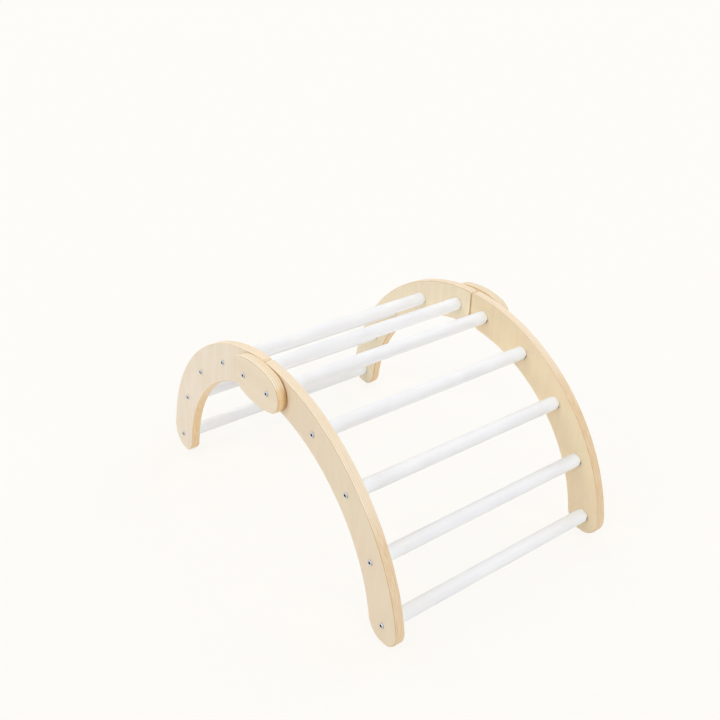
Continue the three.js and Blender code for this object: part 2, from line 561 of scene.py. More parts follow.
    name: str
    sheet: Sheet
    outer_face: float
    thickness: float
    grain: Grain
    seed: int
    bend: tuple[float, float] | None = None
    bend_fade: float = 0.014
    veneer_shade: Colour = srgb(226, 206, 172)
    green_cast: Colour = srgb(237, 229, 196)
    pink_cast: Colour = srgb(243, 219, 197)
    light_ply: Colour = srgb(252, 243, 225)
    dull_ply: Colour = srgb(245, 229, 205)
    dull_depth: float = 0.6
    dark_ply: Colour = srgb(235, 215, 187)
    steep_ply: Colour = srgb(226, 193, 147)
    steep_share: float = 0.55
    steep_from: float = 0.68
    steep_fade: float = 0.2
    under_ply: Colour = srgb(251, 213, 157)
    under_share: float = 0.75
    under_turn: tuple[float, float] = (-0.05, -0.25)
    sheltered: Colour = srgb(172, 122, 58)
    shelter: float = 0.0
    shelter_turn: tuple[float, float] = (0.9, 0.1)
    scuff_height: float = 0.015
    straw: Colour = srgb(233, 205, 150)
    rose: Colour = srgb(244, 212, 180)
    vein: Colour = srgb(216, 180, 122)
    pale_vein: Colour = srgb(247, 224, 200)
    vein_width: float = 0.0009
    vein_length: float = 0.03
    glue: Colour = srgb(206, 164, 112)
    glue_width: float = 0.07
    glue_share: float = 0.35
    glue_groove: float = 0.5
    edge_line: Colour = srgb(214, 178, 122)
    line_share: float = 1.0
    level_line: float = 0.6
    steep_line: float = 0.8
    line_turn: tuple[float, float] = (-0.8, 0.0)
    line_depth: float = 0.0008
    steep_depth: float = 0.0009
    seam_line: Colour = srgb(208, 156, 72)
    seam_width: float = 0.0036
    seam_core: float = 0.7
    face_ply: float = 0.00045
    inner_ply: float = 0.0027
    skin: float = 0.00009
    layer_waver: float = 0.0005
    waver_repeats: float = 28.0
    fibre_width: float = 0.0011
    fibre_length: float = 0.045
    figure_width: float = 0.07
    figure_length: float = 0.55
    figure_lines: float = 13.0
    figure_share: float = 0.2
    patch_size: float = 0.09
    cast_share: float = 0.4
    relief: float = 0.00004

    def fibres(self, bench: NodeBench, place: Feed, grain: Grain) -> Socket:
        """Fine streaks along the fibres, which are specks on a cut across them.

        Args:
            bench: The material's bench.
            place: Object coordinates.
            grain: The direction of the fibres.

        Returns:
            A value from 0 to 1.
        """
        repeats = [1 / self.fibre_width] * 3
        repeats[grain.value] = 1 / self.fibre_length
        return bench.noise(place, repeats, (self.seed, 0, self.seed), detail=3.0, roughness=0.6)

    def read(self, bench: NodeBench) -> BoardReading:
        """Read the spot that is shaded.

        Args:
            bench: The material's bench.

        Returns:
            The reading.
        """
        coordinates = bench.add("ShaderNodeTexCoord").outputs
        place = coordinates["Object"]
        spot = bench.split(place)
        normal = bench.split(coordinates["Normal"])

        drift = bench.noise(place, [self.waver_repeats] * 3, (self.seed, 0, 0), detail=3.0)
        waver = bench.times(bench.minus(drift, 0.5), self.layer_waver)
        depth = bench.minus(self.outer_face, bench.size(spot[1]))
        inside = bench.minus(bench.plus(depth, waver), self.face_ply)
        layers = bench.math("DIVIDE", inside, self.inner_ply)
        layer = bench.math("FLOOR", layers)
        crosswise = bench.math("MODULO", bench.size(layer), 2.0)
        from_middle = bench.size(bench.minus(bench.minus(layers, layer), 0.5))

        across = self.grain.across
        face_fibres = self.fibres(bench, place, self.grain)
        cross_fibres = self.fibres(bench, place, across)
        along_fibres = bench.mix("FLOAT", crosswise, normal[self.grain.value], normal[across.value])
        rise = bench.math("DIVIDE", bench.size(normal[2]), bench.hypotenuse(normal[0], normal[2]))
        return BoardReading(
            place=place,
            spot=spot,
            normal=normal,
            depth=depth,
            from_face=bench.math("MINIMUM", depth, bench.minus(self.thickness, depth)),
            waver=waver,
            layer=layer,
            glue_line=bench.remap(from_middle, Ramp(0.5 - self.glue_width, 0.5)),
            crosswise=crosswise,
            face_fibres=face_fibres,
            fibres=bench.mix("FLOAT", crosswise, face_fibres, cross_fibres),
            cut_across=bench.size(along_fibres),
            steep=bench.remap(rise, Ramp(self.steep_from, self.steep_from - self.steep_fade)),
        )

    def veneer_colour(self, bench: NodeBench, at: BoardReading) -> Socket:
        """Colour of a flat face: the long nested bows of peeled veneer, patches and streaks.

        Args:
            bench: The material's bench.
            at: What is read there.

        Returns:
            The colour.
        """
        repeats = [1 / self.figure_width] * 3
        repeats[self.grain.value] = 1 / self.figure_length
        hills = bench.noise(at.place, repeats, (0, self.seed, 0), detail=1.0, swirl=0.35)
        bows = bench.math("PINGPONG", bench.times(hills, self.figure_lines), 1.0)
        patches = bench.noise(at.place, [1 / self.patch_size] * 3, (0, 0, self.seed))
        return bench.glaze(
            self.sheet.value,
            (bench.times(bows, self.figure_share), self.veneer_shade),
            (bench.times(bench.remap(patches, self.COOL_PATCH), self.cast_share), self.green_cast),
            (bench.times(bench.remap(patches, self.WARM_PATCH), self.cast_share), self.pink_cast),
            (bench.remap(at.face_fibres, self.FACE_STREAK), self.veneer_shade),
        )

    def layer_colour(self, bench: NodeBench, at: BoardReading) -> Socket:
        """Colour of the layers on a new cut.

        Args:
            bench: The material's bench.
            at: What is read there.

        Returns:
            The colour.
        """
        draw = bench.add(
            "ShaderNodeTexWhiteNoise",
            {"W": bench.plus(at.layer, float(self.seed))},
            noise_dimensions="1D",
        ).outputs["Value"]
        dull = bench.remap(at.depth, Ramp(0.0, self.thickness * self.dull_depth))
        streaks = bench.times(
            bench.remap(at.fibres, self.STREAK), bench.remap(at.cut_across, self.CUT_STREAK)
        )
        return bench.glaze(
            self.light_ply,
            (dull, self.dull_ply),
            (at.crosswise, self.dark_ply),
            (bench.remap(draw, self.STRAW_LAYER), self.straw),
            (bench.remap(draw, self.ROSE_LAYER), self.rose),
            (streaks, self.straw),
        )

    def hollow(self, bench: NodeBench, at: BoardReading) -> Feed:
        """Tell the hollow side of a bent board from its outer side.

        Args:
            bench: The material's bench.
            at: What is read there.

        Returns:
            1 on the hollow side and 0 on the outer side.
        """
        if self.bend is None:
            return 1.0
        height, radius = self.bend
        reach = bench.hypotenuse(at.spot[0], bench.minus(at.spot[2], height))
        return bench.remap(reach, Ramp(radius + self.bend_fade, radius))

    def aged(self, bench: NodeBench, at: BoardReading, edge: Socket) -> Socket:
        """Lay painted shade on steep and downward edges, a painted contact shadow on the foot and the saw's
        veins over the layers.

        Args:
            bench: The material's bench.
            at: What is read there.
            edge: The layers' colour.

        Returns:
            The colour.
        """
        hollow = self.hollow(bench, at)
        # Painted warm shade on edges of the hollow side that face down.
        turned = bench.remap(at.normal[2], Ramp(*self.under_turn, 0.0, self.under_share))
        under = bench.times(turned, bench.remap(at.normal[2], self.UNDERMOST))
        # Painted contact shadow on the foot, low down where the edge turns towards the floor.
        foot_shade = bench.times(bench.remap(at.normal[2], self.SCUFF), hollow)
        foot_shade = bench.times(foot_shade, bench.remap(at.spot[2], Ramp(self.scuff_height, 0.0)))
        along = 1 / self.vein_length
        veins = bench.noise(at.place, (along, 1 / self.vein_width, along), (self.seed, 0, 0))
        ragged = bench.remap(at.steep, self.STEEP_VEIN)
        return bench.glaze(
            edge,
            # Painted shade on steep and downward edges and on the foot, then the saw's veins.
            (bench.times(at.steep, self.steep_share), self.steep_ply),
            (bench.times(under, hollow), self.under_ply),
            (foot_shade, self.sheltered),
            (bench.times(bench.remap(veins, self.DARK_VEIN), ragged), self.vein),
            (bench.times(bench.remap(veins, self.LIGHT_VEIN), ragged), self.pale_vein),
        )

    def lined(self, bench: NodeBench, at: BoardReading, edge: Socket) -> Socket:
        """Draw the glue lines and the line at the round-over.

        Args:
            bench: The material's bench.
            at: What is read there.
            edge: The edge's colour so far.

        Returns:
            The colour.
        """
        reach = bench.plus(bench.times(at.steep, self.steep_depth), self.line_depth)
        line = bench.math("DIVIDE", bench.plus(at.from_face, at.waver), reach)
        shown = bench.remap(at.steep, Ramp(0.0, 1.0, self.level_line, self.steep_line))
        line = bench.times(bench.remap(line, self.LINE_FADE), shown)
        # Painted light: the line fades to half on edges that face -X, as though lit from that side.
        turned = bench.remap(at.normal[0], Ramp(*self.line_turn, self.line_share / 2, self.line_share))
        return bench.glaze(
            edge,
            (bench.times(at.glue_line, self.glue_share), self.glue),
            (bench.times(line, turned), self.edge_line),
        )

    def shaded(self, bench: NodeBench, at: BoardReading, edge: Socket) -> Socket:
        """Paint shade on the edge towards its inner face, where it meets the panel, and a painted shade
        line along that corner.

        Args:
            bench: The material's bench.
            at: What is read there.
            edge: The edge's colour so far.

        Returns:
            The colour.
        """
        if not self.shelter:
            return edge
        beside = bench.remap(at.depth, Ramp(self.thickness / 3, self.thickness))
        turned = bench.remap(at.normal[2], Ramp(*self.shelter_turn, 0.0, self.shelter))
        to_inner = bench.minus(self.thickness, at.depth)
        seam = bench.remap(to_inner, Ramp(self.seam_width, self.seam_core * self.seam_width))
        # Painted shade beside the inner face, and a painted shade line along the corner where the plate
        # meets the panel.
        return bench.glaze(
            edge,
            (bench.times(beside, turned), self.sheltered),
            (bench.times(seam, self.shelter), self.seam_line),
        )

    def inputs(self, bench: NodeBench) -> dict[str, Feed]:
        """Work out what feeds the shader.

        Args:
            bench: The material's bench.

        Returns:
            A feed for each named input.
        """
        at = self.read(bench)
        edge = self.layer_colour(bench, at)
        for step in (self.aged, self.lined, self.shaded):
            edge = step(bench, at, edge)
        cut = bench.remap(at.from_face, Ramp(self.skin / 3, self.skin))
        cut_fibres = bench.times(at.fibres, bench.remap(at.cut_across, self.CUT_RELIEF))
        fibres = bench.mix("FLOAT", cut, at.face_fibres, cut_fibres)
        grooves = bench.times(bench.times(at.glue_line, cut), self.glue_groove)
        return {
            "Base Color": bench.glaze(self.veneer_colour(bench, at), (cut, edge)),
            "Roughness": bench.remap(fibres, self.SATIN),
            "Normal": bench.bump(bench.minus(fibres, grooves), self.relief),
            "Specular IOR Level": 0.35,
            "Coat Weight": 0.08,
            "Coat Roughness": 0.35,
        }


@dataclass(frozen=True)
class PaintFinish(Finish):
    """Satin white paint on a dowel, with a trace of the grain beneath it.

    Attributes:
        end: The place of the rungs' ends along Y, without its sign.
        name: The material's name.
        white: The paint's colour.
        thin_white: The paint where it lies thinner.
        cover_repeats: Thin patches per metre along X, Y and Z.
        bare: Painted shadow below a rung's end, where it meets the panel.
        bare_width: How far from the end that painted shadow reaches.
        bare_core: The share of the width that shows fully.
        bare_lift: How much higher it reaches round the ends of low rungs.
        rear_bare: How clearly it shows on the rear half, against the front half.
        bare_blend: How far from the crest it shows as its half does.
        end_white: A painted cool tint at the rungs' ends, against the warm light that the panels bounce
            onto them.
        end_length: How far from the end it starts.
        fresh_white: Painted light on the low rungs and under the high ones.
        middle_height: The height that parts low rungs from high ones.
        high_ratio: How many times that height a rung lies at to count as fully high.
        front_share: How much of the painted light the front half's low rungs show.
        rear_share: The same for the rear half.
        fresh_blend: How far from the crest a rung shows as its half does.
        top_share: The least of the painted light that the tops of low rungs show.
        top_turn: The normal's Z where a rung's top starts and where it is all top.
        streak_width: The width of a raised fibre.
        streak_length: The length of a raised fibre.
        streak_share: How much of the relief the fibres make.
        peel_size: The size of the roller's texture.
        peel_share: How much of the relief that texture makes.
        relief: How deep the relief is.
        COVER: How the cover noise turns to thin paint.
        UNDERSIDE: How the normal's Z turns to a rung's underside.
        BARE_SIDE: How it turns to where the painted end shadow shows.
        SATIN: How rough the paint is over the roller's texture.
    """

    COVER: ClassVar[Ramp] = Ramp(0.35, 0.7)
    UNDERSIDE: ClassVar[Ramp] = Ramp(0.2, -0.7)
    BARE_SIDE: ClassVar[Ramp] = Ramp(0.15, -0.25)
    SATIN: ClassVar[Ramp] = Ramp(0.3, 0.7, 0.36, 0.48)

    end: float
    name: str = "white lacquer"
    white: Colour = srgb(244, 244, 245)
    thin_white: Colour = srgb(239, 239, 241)
    cover_repeats: Place = (22.0, 9.0, 22.0)
    bare: Colour = srgb(66, 52, 34)
    bare_width: float = 0.0043
    bare_core: float = 0.8
    bare_lift: float = 0.3
    rear_bare: float = 0.3
    bare_blend: float = 0.03
    end_white: Colour = srgb(247, 251, 255)
    end_length: float = 0.06
    fresh_white: Colour = srgb(254, 254, 255)
    middle_height: float = 0.26
    high_ratio: float = 1.4
    front_share: float = 0.25
    rear_share: float = 0.6
    fresh_blend: float = 0.05
    top_share: float = 0.45
    top_turn: tuple[float, float] = (0.3, 0.95)
    streak_width: float = 0.0013
    streak_length: float = 0.07
    streak_share: float = 0.8
    peel_size: float = 0.0009
    peel_share: float = 0.35
    relief: float = 0.00003

    def fresh(self, bench: NodeBench, spot: tuple[Socket, ...], rise: Socket) -> Socket:
        """Find where light is painted: on the low rungs and under the high ones.

        Args:
            bench: The material's bench.
            spot: Object coordinates.
            rise: The normal's Z.

        Returns:
            1 where the painted light shows fully, 0 where it does not.
        """
        middle, blend = self.middle_height, self.fresh_blend
        low = bench.remap(spot[0], Ramp(blend, -blend, self.front_share, self.rear_share))
        low = bench.math("MAXIMUM", low, bench.remap(rise, Ramp(*self.top_turn, 0.0, self.top_share)))
        low = bench.times(low, bench.remap(spot[2], Ramp(middle, middle / 2)))
        high = bench.remap(spot[2], Ramp(middle, middle * self.high_ratio))
        return bench.math("MAXIMUM", low, bench.times(high, bench.remap(rise, self.UNDERSIDE)))

    def unpainted(self, bench: NodeBench, spot: tuple[Socket, ...], rise: Socket, to_end: Socket) -> Socket:
        """Find where shadow is painted below a rung's end.

        Args:
            bench: The material's bench.
            spot: Object coordinates.
            rise: The normal's Z.
            to_end: The distance to the rung's end.

        Returns:
            1 where the painted shadow shows fully.
        """
        middle, blend = self.middle_height, self.bare_blend
        lift = bench.remap(spot[2], Ramp(middle, middle / 2, 0.0, self.bare_lift))
        below = bench.remap(bench.minus(rise, lift), self.BARE_SIDE)
        below = bench.times(below, bench.remap(spot[0], Ramp(-blend, blend, self.rear_bare, 1.0)))
        return bench.times(
            below, bench.remap(to_end, Ramp(self.bare_width, self.bare_width * self.bare_core))
        )

    def inputs(self, bench: NodeBench) -> dict[str, Feed]:
        """Work out what feeds the shader.

        Args:
            bench: The material's bench.

        Returns:
            A feed for each named input.
        """
        coordinates = bench.add("ShaderNodeTexCoord").outputs
        place = coordinates["Object"]
        spot = bench.split(place)
        rise = bench.split(coordinates["Normal"])[2]
        to_end = bench.minus(self.end, bench.size(spot[1]))
        around, along = 1 / self.streak_width, 1 / self.streak_length
        streaks = bench.noise(place, (around, along, around))
        peel = bench.noise(place, [1 / self.peel_size] * 3, detail=1.0)
        cover = bench.noise(place, self.cover_repeats)
        colour = bench.glaze(
            self.white,
            (bench.remap(cover, self.COVER), self.thin_white),
            # Painted light on the low rungs and under the high ones.
            (self.fresh(bench, spot, rise), self.fresh_white),
            # Painted cool light at the ends, which cancels the warm light bounced from the panels.
            (bench.remap(to_end, Ramp(self.end_length, self.end_length / 4)), self.end_white),
            # Painted shadow below the rungs' ends, where they meet the panels.
            (self.unpainted(bench, spot, rise, to_end), self.bare),
        )
        height = bench.plus(bench.times(streaks, self.streak_share), bench.times(peel, self.peel_share))
        return {
            "Base Color": colour,
            "Roughness": bench.remap(peel, self.SATIN),
            "Normal": bench.bump(height, self.relief),
            "Specular IOR Level": 0.4,
        }


@dataclass(frozen=True)
class TurnedSteelFinish(Finish):
    """Zinc-plated steel with turning marks round each part's own axis.

    The marks follow the mesh attribute of RADIUS_NAME, and SOCKET_NAME marks where shade
    is painted inside a bolt's socket.

    Attributes:
        name: The material's name.
        zinc: The plating's colour.
        dull_zinc: The plating where it is dull.
        cloud_repeats: Dull clouds per metre.
        worn_rim: Painted shade on a cap's slope.
        rim_share: How clearly that painted shade shows.
        slope: The radii between which a cap's slope lies.
        socket_grime: Painted shade deep in a socket.
        mark_pitch: The distance between turning marks.
        mark_height: How far a mark stands out, as a share of the relief.
        relief: How deep the relief is.
        DULL: How the cloud noise turns dull.
        SATIN: How rough the plating is over the cloud noise.
    """

    DULL: ClassVar[Ramp] = Ramp(0.35, 0.7)
    SATIN: ClassVar[Ramp] = Ramp(0.3, 0.7, 0.24, 0.38)

    name: str
    zinc: Colour = srgb(228, 231, 236)
    dull_zinc: Colour = srgb(196, 203, 213)
    cloud_repeats: float = 420.0
    worn_rim: Colour = srgb(150, 158, 168)
    rim_share: float = 0.6
    slope: tuple[float, float] = (0.0053, 0.0063)
    socket_grime: Colour = srgb(22, 30, 46)
    mark_pitch: float = 0.00035
    mark_height: float = 0.5
    relief: float = 0.00001

    def inputs(self, bench: NodeBench) -> dict[str, Feed]:
        """Work out what feeds the shader.

        Args:
            bench: The material's bench.

        Returns:
            A feed for each named input.
        """
        place = bench.add("ShaderNodeTexCoord").outputs["Object"]
        radius = bench.add("ShaderNodeAttribute", attribute_name=RADIUS_NAME).outputs["Fac"]
        socket = bench.add("ShaderNodeAttribute", attribute_name=SOCKET_NAME).outputs["Fac"]
        turns = bench.times(radius, 2 * math.pi / self.mark_pitch)
        marks = bench.times(bench.math("SINE", turns), self.mark_height)
        cloud = bench.noise(place, [self.cloud_repeats] * 3, detail=3.0)
        colour = bench.glaze(
            self.zinc,
            (bench.remap(cloud, self.DULL), self.dull_zinc),
            # Painted shade on the cap's slope.
            (bench.remap(radius, Ramp(*self.slope, 0.0, self.rim_share)), self.worn_rim),
            # Painted shade deep in the socket.
            (socket, self.socket_grime),
        )
        return {
            "Base Color": colour,
            "Metallic": 1.0,
            "Roughness": bench.remap(cloud, self.SATIN),
            "Normal": bench.bump(marks, self.relief),
        }


@dataclass(frozen=True)
class BrassFinish(Finish):
    """Turned brass with a light tarnish.

    Attributes:
        name: The material's name.
        brass: The clean metal.
        tarnish: The tarnished metal.
        cloud_repeats: Tarnished clouds per metre.
        mark_repeats: Turning marks per metre along X, Y and Z.
        relief: How deep the marks are.
        DULL: How the cloud noise turns to tarnish.
        SATIN: How rough the brass is over the cloud noise.
    """

    DULL: ClassVar[Ramp] = Ramp(0.4, 0.7)
    SATIN: ClassVar[Ramp] = Ramp(0.3, 0.7, 0.28, 0.45)

    name: str = "insert brass"
    brass: Colour = srgb(204, 172, 100)
    tarnish: Colour = srgb(168, 134, 72)
    cloud_repeats: float = 300.0
    mark_repeats: Place = (40.0, 2200.0, 40.0)
    relief: float = 0.00002

    def inputs(self, bench: NodeBench) -> dict[str, Feed]:
        """Work out what feeds the shader.

        Args:
            bench: The material's bench.

        Returns:
            A feed for each named input.
        """
        place = bench.add("ShaderNodeTexCoord").outputs["Object"]
        cloud = bench.noise(place, [self.cloud_repeats] * 3, detail=3.0)
        marks = bench.noise(place, self.mark_repeats, detail=1.0)
        return {
            "Base Color": bench.glaze(self.brass, (bench.remap(cloud, self.DULL), self.tarnish)),
            "Metallic": 1.0,
            "Roughness": bench.remap(cloud, self.SATIN),
            "Normal": bench.bump(marks, self.relief),
        }


def polar(centre: Point, radius: float, angle: float) -> Point:
    """The point of a circle in X and Z at an angle counted from +X towards +Z."""
    return (centre[0] + radius * math.cos(angle), centre[1] + radius * math.sin(angle))


def full_turn(count: int) -> list[float]:
    """The angles of equal steps round a circle, from 0."""
    return [2 * math.pi * i / count for i in range(count)]


@dataclass(frozen=True)
class Arc:
    """A stretch of a circle in X and Z, with angles counted from +X towards +Z.

    Attributes:
        centre: The circle's centre.
        radius: The circle's radius.
        start: The angle of the first point.
        end: The angle of the last point.
    """

    centre: Point
    radius: float
    start: float
    end: float

    def points(self, sag: float) -> list[Point]:
        """Place points along the arc, both ends included.

        Args:
            sag: How far a chord may stray from the arc.

        Returns:
            The points.
        """
        step = 2 * math.acos(1 - sag / self.radius)
        count = max(1, math.ceil(abs(self.end - self.start) / step))
        angles = [self.start + (self.end - self.start) * i / count for i in range(count + 1)]
        return [polar(self.centre, self.radius, angle) for angle in angles]


def joined(arcs: Sequence[Arc], sag: float, closing: Sequence[Point] = ()) -> list[Point]:
    """Join arcs into one closed outline without double points.

    Args:
        arcs: The arcs in order.
        sag: How far a chord may stray from its arc.
        closing: Points between the last arc and the first.

    Returns:
        The outline.
    """
    points = [*(point for arc in arcs for point in arc.points(sag)), *closing]
    return [point for i, point in enumerate(points) if math.dist(point, points[i - 1]) > sag]


def eased(corner: Point, before: Point, after: Point, steps: int) -> list[Point]:
    """Round a corner of a profile by a quarter of an ellipse.

    Args:
        corner: The corner that is taken off.
        before: Where the curve begins.
        after: Where the curve ends.
        steps: The facets across the curve.

    Returns:
        The points of the curve, both ends included.
    """
    points = []
    for i in range(steps + 1):
        angle = QUARTER * i / steps
        share_before, share_after = 1 - math.sin(angle), 1 - math.cos(angle)
        points.append(tuple(
            corner[k] + (before[k] - corner[k]) * share_before + (after[k] - corner[k]) * share_after
            for k in range(2)
        ))
    return points


def add_ring(target: bmesh.types.BMesh, points: Sequence[Point], y: float) -> Ring:
    """Add a ring of vertices at one place along Y.

    Args:
        target: The mesh to add to.
        points: Their X and Z.
        y: Their Y.

    Returns:
        The vertices.
    """
    return [target.verts.new((x, y, z)) for x, z in points]


def join_rings(target: bmesh.types.BMesh, first: Ring, second: Ring) -> None:
    """Bridge two rings of as many vertices with quads.

    Args:
        target: The mesh that holds them.
        first: One ring.
        second: The other ring.
    """
    for i in range(len(first)):
        target.faces.new((first[i - 1], first[i], second[i], second[i - 1]))


def close_ring(target: bmesh.types.BMesh, tip: Ring, ring: Ring) -> None:
    """Close a ring onto one vertex.

    Args:
        target: The mesh that holds them.
        tip: A list of the one vertex.
        ring: The ring.
    """
    for i in range(len(ring)):
        target.faces.new((ring[i - 1], ring[i], tip[0]))


def fill_flat(target: bmesh.types.BMesh, loops: list[Ring]) -> None:
    """Fill a flat outline with holes by triangles.

    Args:
        target: The mesh that holds the loops.
        loops: The outline, then the holes.
    """
    corners = [corner for loop in loops for corner in loop]
    places = [[corner.co * MILLIMETRES_PER_METRE for corner in loop] for loop in loops]
    for triangle in tessellate_polygon(places):
        target.faces.new([corners[i] for i in triangle])


def closed_mesh(source: bmesh.types.BMesh, name: str) -> bpy.types.Mesh:
    """Turn a closed bmesh into a mesh whose faces point outwards.

    Args:
        source: The bmesh, which is freed.
        name: The mesh's name.

    Returns:
        The mesh, smooth with sharp edges at corners.
    """
    bmesh.ops.recalc_face_normals(source, faces=source.faces[:])
    mesh = bpy.data.meshes.new(name)
    source.to_mesh(mesh)
    source.free()
    mesh.shade_smooth()
    mesh.set_sharp_from_angle(angle=SHARP_ANGLE)
    return mesh


def new_piece(name: str, mesh: bpy.types.Mesh) -> bpy.types.Object:
    """Put a mesh in the scene.

    Args:
        name: The object's name.
        mesh: Its mesh, in place.

    Returns:
        The object, at the origin.
    """
    piece = bpy.data.objects.new(name, mesh)
    bpy.context.scene.collection.objects.link(piece)
    return piece


def hand_over(piece: bpy.types.Object, body: str, nodes: Sequence[str]) -> None:
    """Tie a finished piece to its body and hide the solids that it stands for.

    Args:
        piece: The piece.
        body: The body that it rides on.
        nodes: The solids that it stands for.
    """
    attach(piece, body)
    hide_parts(*nodes)
    faces = len(piece.data.polygons)
    LOG.info("%s rides on %s for %d solids, %d faces", piece.name, body, len(nodes), faces)


@dataclass(frozen=True)
class ArchLayout:
    """Where the arch's parts lie, read from the fixed solids.

    Attributes:
        rungs_per_half: The rungs of one half.
        centre_height: The height of the centre of the rung circle.
        rung_circle: The radius of the circle through the rung centres.
        crest_angle: The first rung's angle from the vertical.
        rung_step: The angle from one rung to the next.
        inner_edge: The radius of the panels' inner edge.
        outer_edge: The radius of the panels' outer edge.
        panel_faces: The panel's inner and outer face along Y.
        plate_faces: The joint plate's inner and outer face along Y.
        rung_radius: The radius of a rung.
        rung_reach: Half the length of a rung.
    """

    rungs_per_half: int
    centre_height: float
    rung_circle: float
    crest_angle: float
    rung_step: float
    inner_edge: float
    outer_edge: float
    panel_faces: tuple[float, float]
    plate_faces: tuple[float, float]
    rung_radius: float
    rung_reach: float

    @classmethod
    def from_frame(cls) -> ArchLayout:
        """Read the layout from the solids of the front half and the joint plate.

        Returns:
            The layout.
        """
        count = sum(name.startswith("rung_front_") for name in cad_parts)
        low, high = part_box("rung_front_1")
        foot_low, foot_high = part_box(f"rung_front_{count}")
        first, last = (low + high) / 2, (foot_low + foot_high) / 2
        height = (last.x ** 2 + last.z ** 2 - first.x ** 2 - first.z ** 2) / (2 * (last.z - first.z))
        crest = math.atan2(first.x, first.z - height)
        foot = math.atan2(last.x, last.z - height)
        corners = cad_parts["front_right_panel"].data.vertices
        edge = [math.hypot(corner.co.x, corner.co.z - height) for corner in corners]
        panel_low, panel_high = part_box("front_right_panel")
        plate_low, plate_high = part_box("joint_plate_right")
        return cls(
            rungs_per_half=count,
            centre_height=height,
            rung_circle=math.hypot(first.x, first.z - height),
            crest_angle=crest,
            rung_step=(foot - crest) / (count - 1),
            inner_edge=min(edge),
            outer_edge=max(edge),
            panel_faces=(panel_low.y, panel_high.y),
            plate_faces=(plate_low.y, plate_high.y),
            rung_radius=(high.z - low.z) / 2,
            rung_reach=high.y,
        )

    def on_circle(self, radius: float, angle: float) -> Point:
        """A point about the centre of the arch.

        Args:
            radius: Its distance from the centre.
            angle: Its angle from the vertical towards the front.

        Returns:
            The point in X and Z.
        """
        return (radius * math.sin(angle), self.centre_height + radius * math.cos(angle))

    def rung_centres(self) -> list[Point]:
        """The centres of the front rungs, from the crest down."""
        angles = [self.crest_angle + i * self.rung_step for i in range(self.rungs_per_half)]
        return [self.on_circle(self.rung_circle, angle) for angle in angles]


@dataclass
class RoundedBoard:
    """A board with bolt bores whose edges are rounded over.

    Attributes:
        outline: Its outline in X and Z.
        bores: The centres of its bores.
        faces: The places of its two faces along Y, the lower one first.
        edge_radius: The radius of the round-over.
        edge_steps: The facets across one round-over.
        support: How far the rings that hold flat shading lie from a round-over.
        bore_radius: The radius of a bore.
        bore_sides: The facets round a bore.
    """

    outline: list[Point]
    bores: list[Point]
    faces: tuple[float, float]
    edge_radius: float = 0.003
    edge_steps: int = 8
    support: float = 0.0004
    bore_radius: float = 0.0033
    bore_sides: int = 40

    def inward(self) -> list[Point]:
        """Work out how each point of the outline moves when the outline shrinks by one.

        Returns:
            A mitred vector for each point.
        """
        count = len(self.outline)
        area = sum(
            self.outline[i - 1][0] * self.outline[i][1] - self.outline[i][0] * self.outline[i - 1][1]
            for i in range(count)
        )
        turn = math.copysign(1.0, area)
        moves = []
        for i, (x, z) in enumerate(self.outline):
            before, after = self.outline[i - 1], self.outline[(i + 1) % count]
            first = Vector((x - before[0], z - before[1])).normalized()
            second = Vector((after[0] - x, after[1] - z)).normalized()
            normals = [Vector((-way.y, way.x)) * turn for way in (first, second)]
            middle = (normals[0] + normals[1]).normalized()
            moves.append(tuple(middle / middle.dot(normals[0])))
        return moves

    def sections(self) -> list[tuple[float, float]]:
        """List the rings of the board, from one face to the other.

        Returns:
            For each ring, how far it lies inside the outline and its place along Y.
        """
        low, high = self.faces
        radius = self.edge_radius
        edge = [
            (radius + self.support, 0.0),
            *eased((0.0, 0.0), (radius, 0.0), (0.0, radius), self.edge_steps),
            (0.0, radius + self.support),
        ]
        return [(inset, low + depth) for inset, depth in edge] + [
            (inset, high - depth) for inset, depth in reversed(edge)
        ]

    def mesh(self, name: str) -> bpy.types.Mesh:
        """Build the board.

        Args:
            name: The mesh's name.

        Returns:
            A closed mesh in place.
        """
        board = bmesh.new()
        moves = self.inward()
        rings = []
        for inset, y in self.sections():
            shrunk = [(x + dx * inset, z + dz * inset) for (x, z), (dx, dz) in zip(self.outline, moves)]
            rings.append(add_ring(board, shrunk, y))
        for lower, upper in zip(rings, rings[1:]):
            join_rings(board, lower, upper)
        caps = [[rings[0]], [rings[-1]]]
        for centre in self.bores:
            circle = [polar(centre, self.bore_radius, angle) for angle in full_turn(self.bore_sides)]
            holes = [add_ring(board, circle, y) for y in self.faces]
            for cap, hole in zip(caps, holes):
                cap.append(hole)
            join_rings(board, *holes)
        for loops in caps:
            fill_flat(board, loops)
        return closed_mesh(board, name)


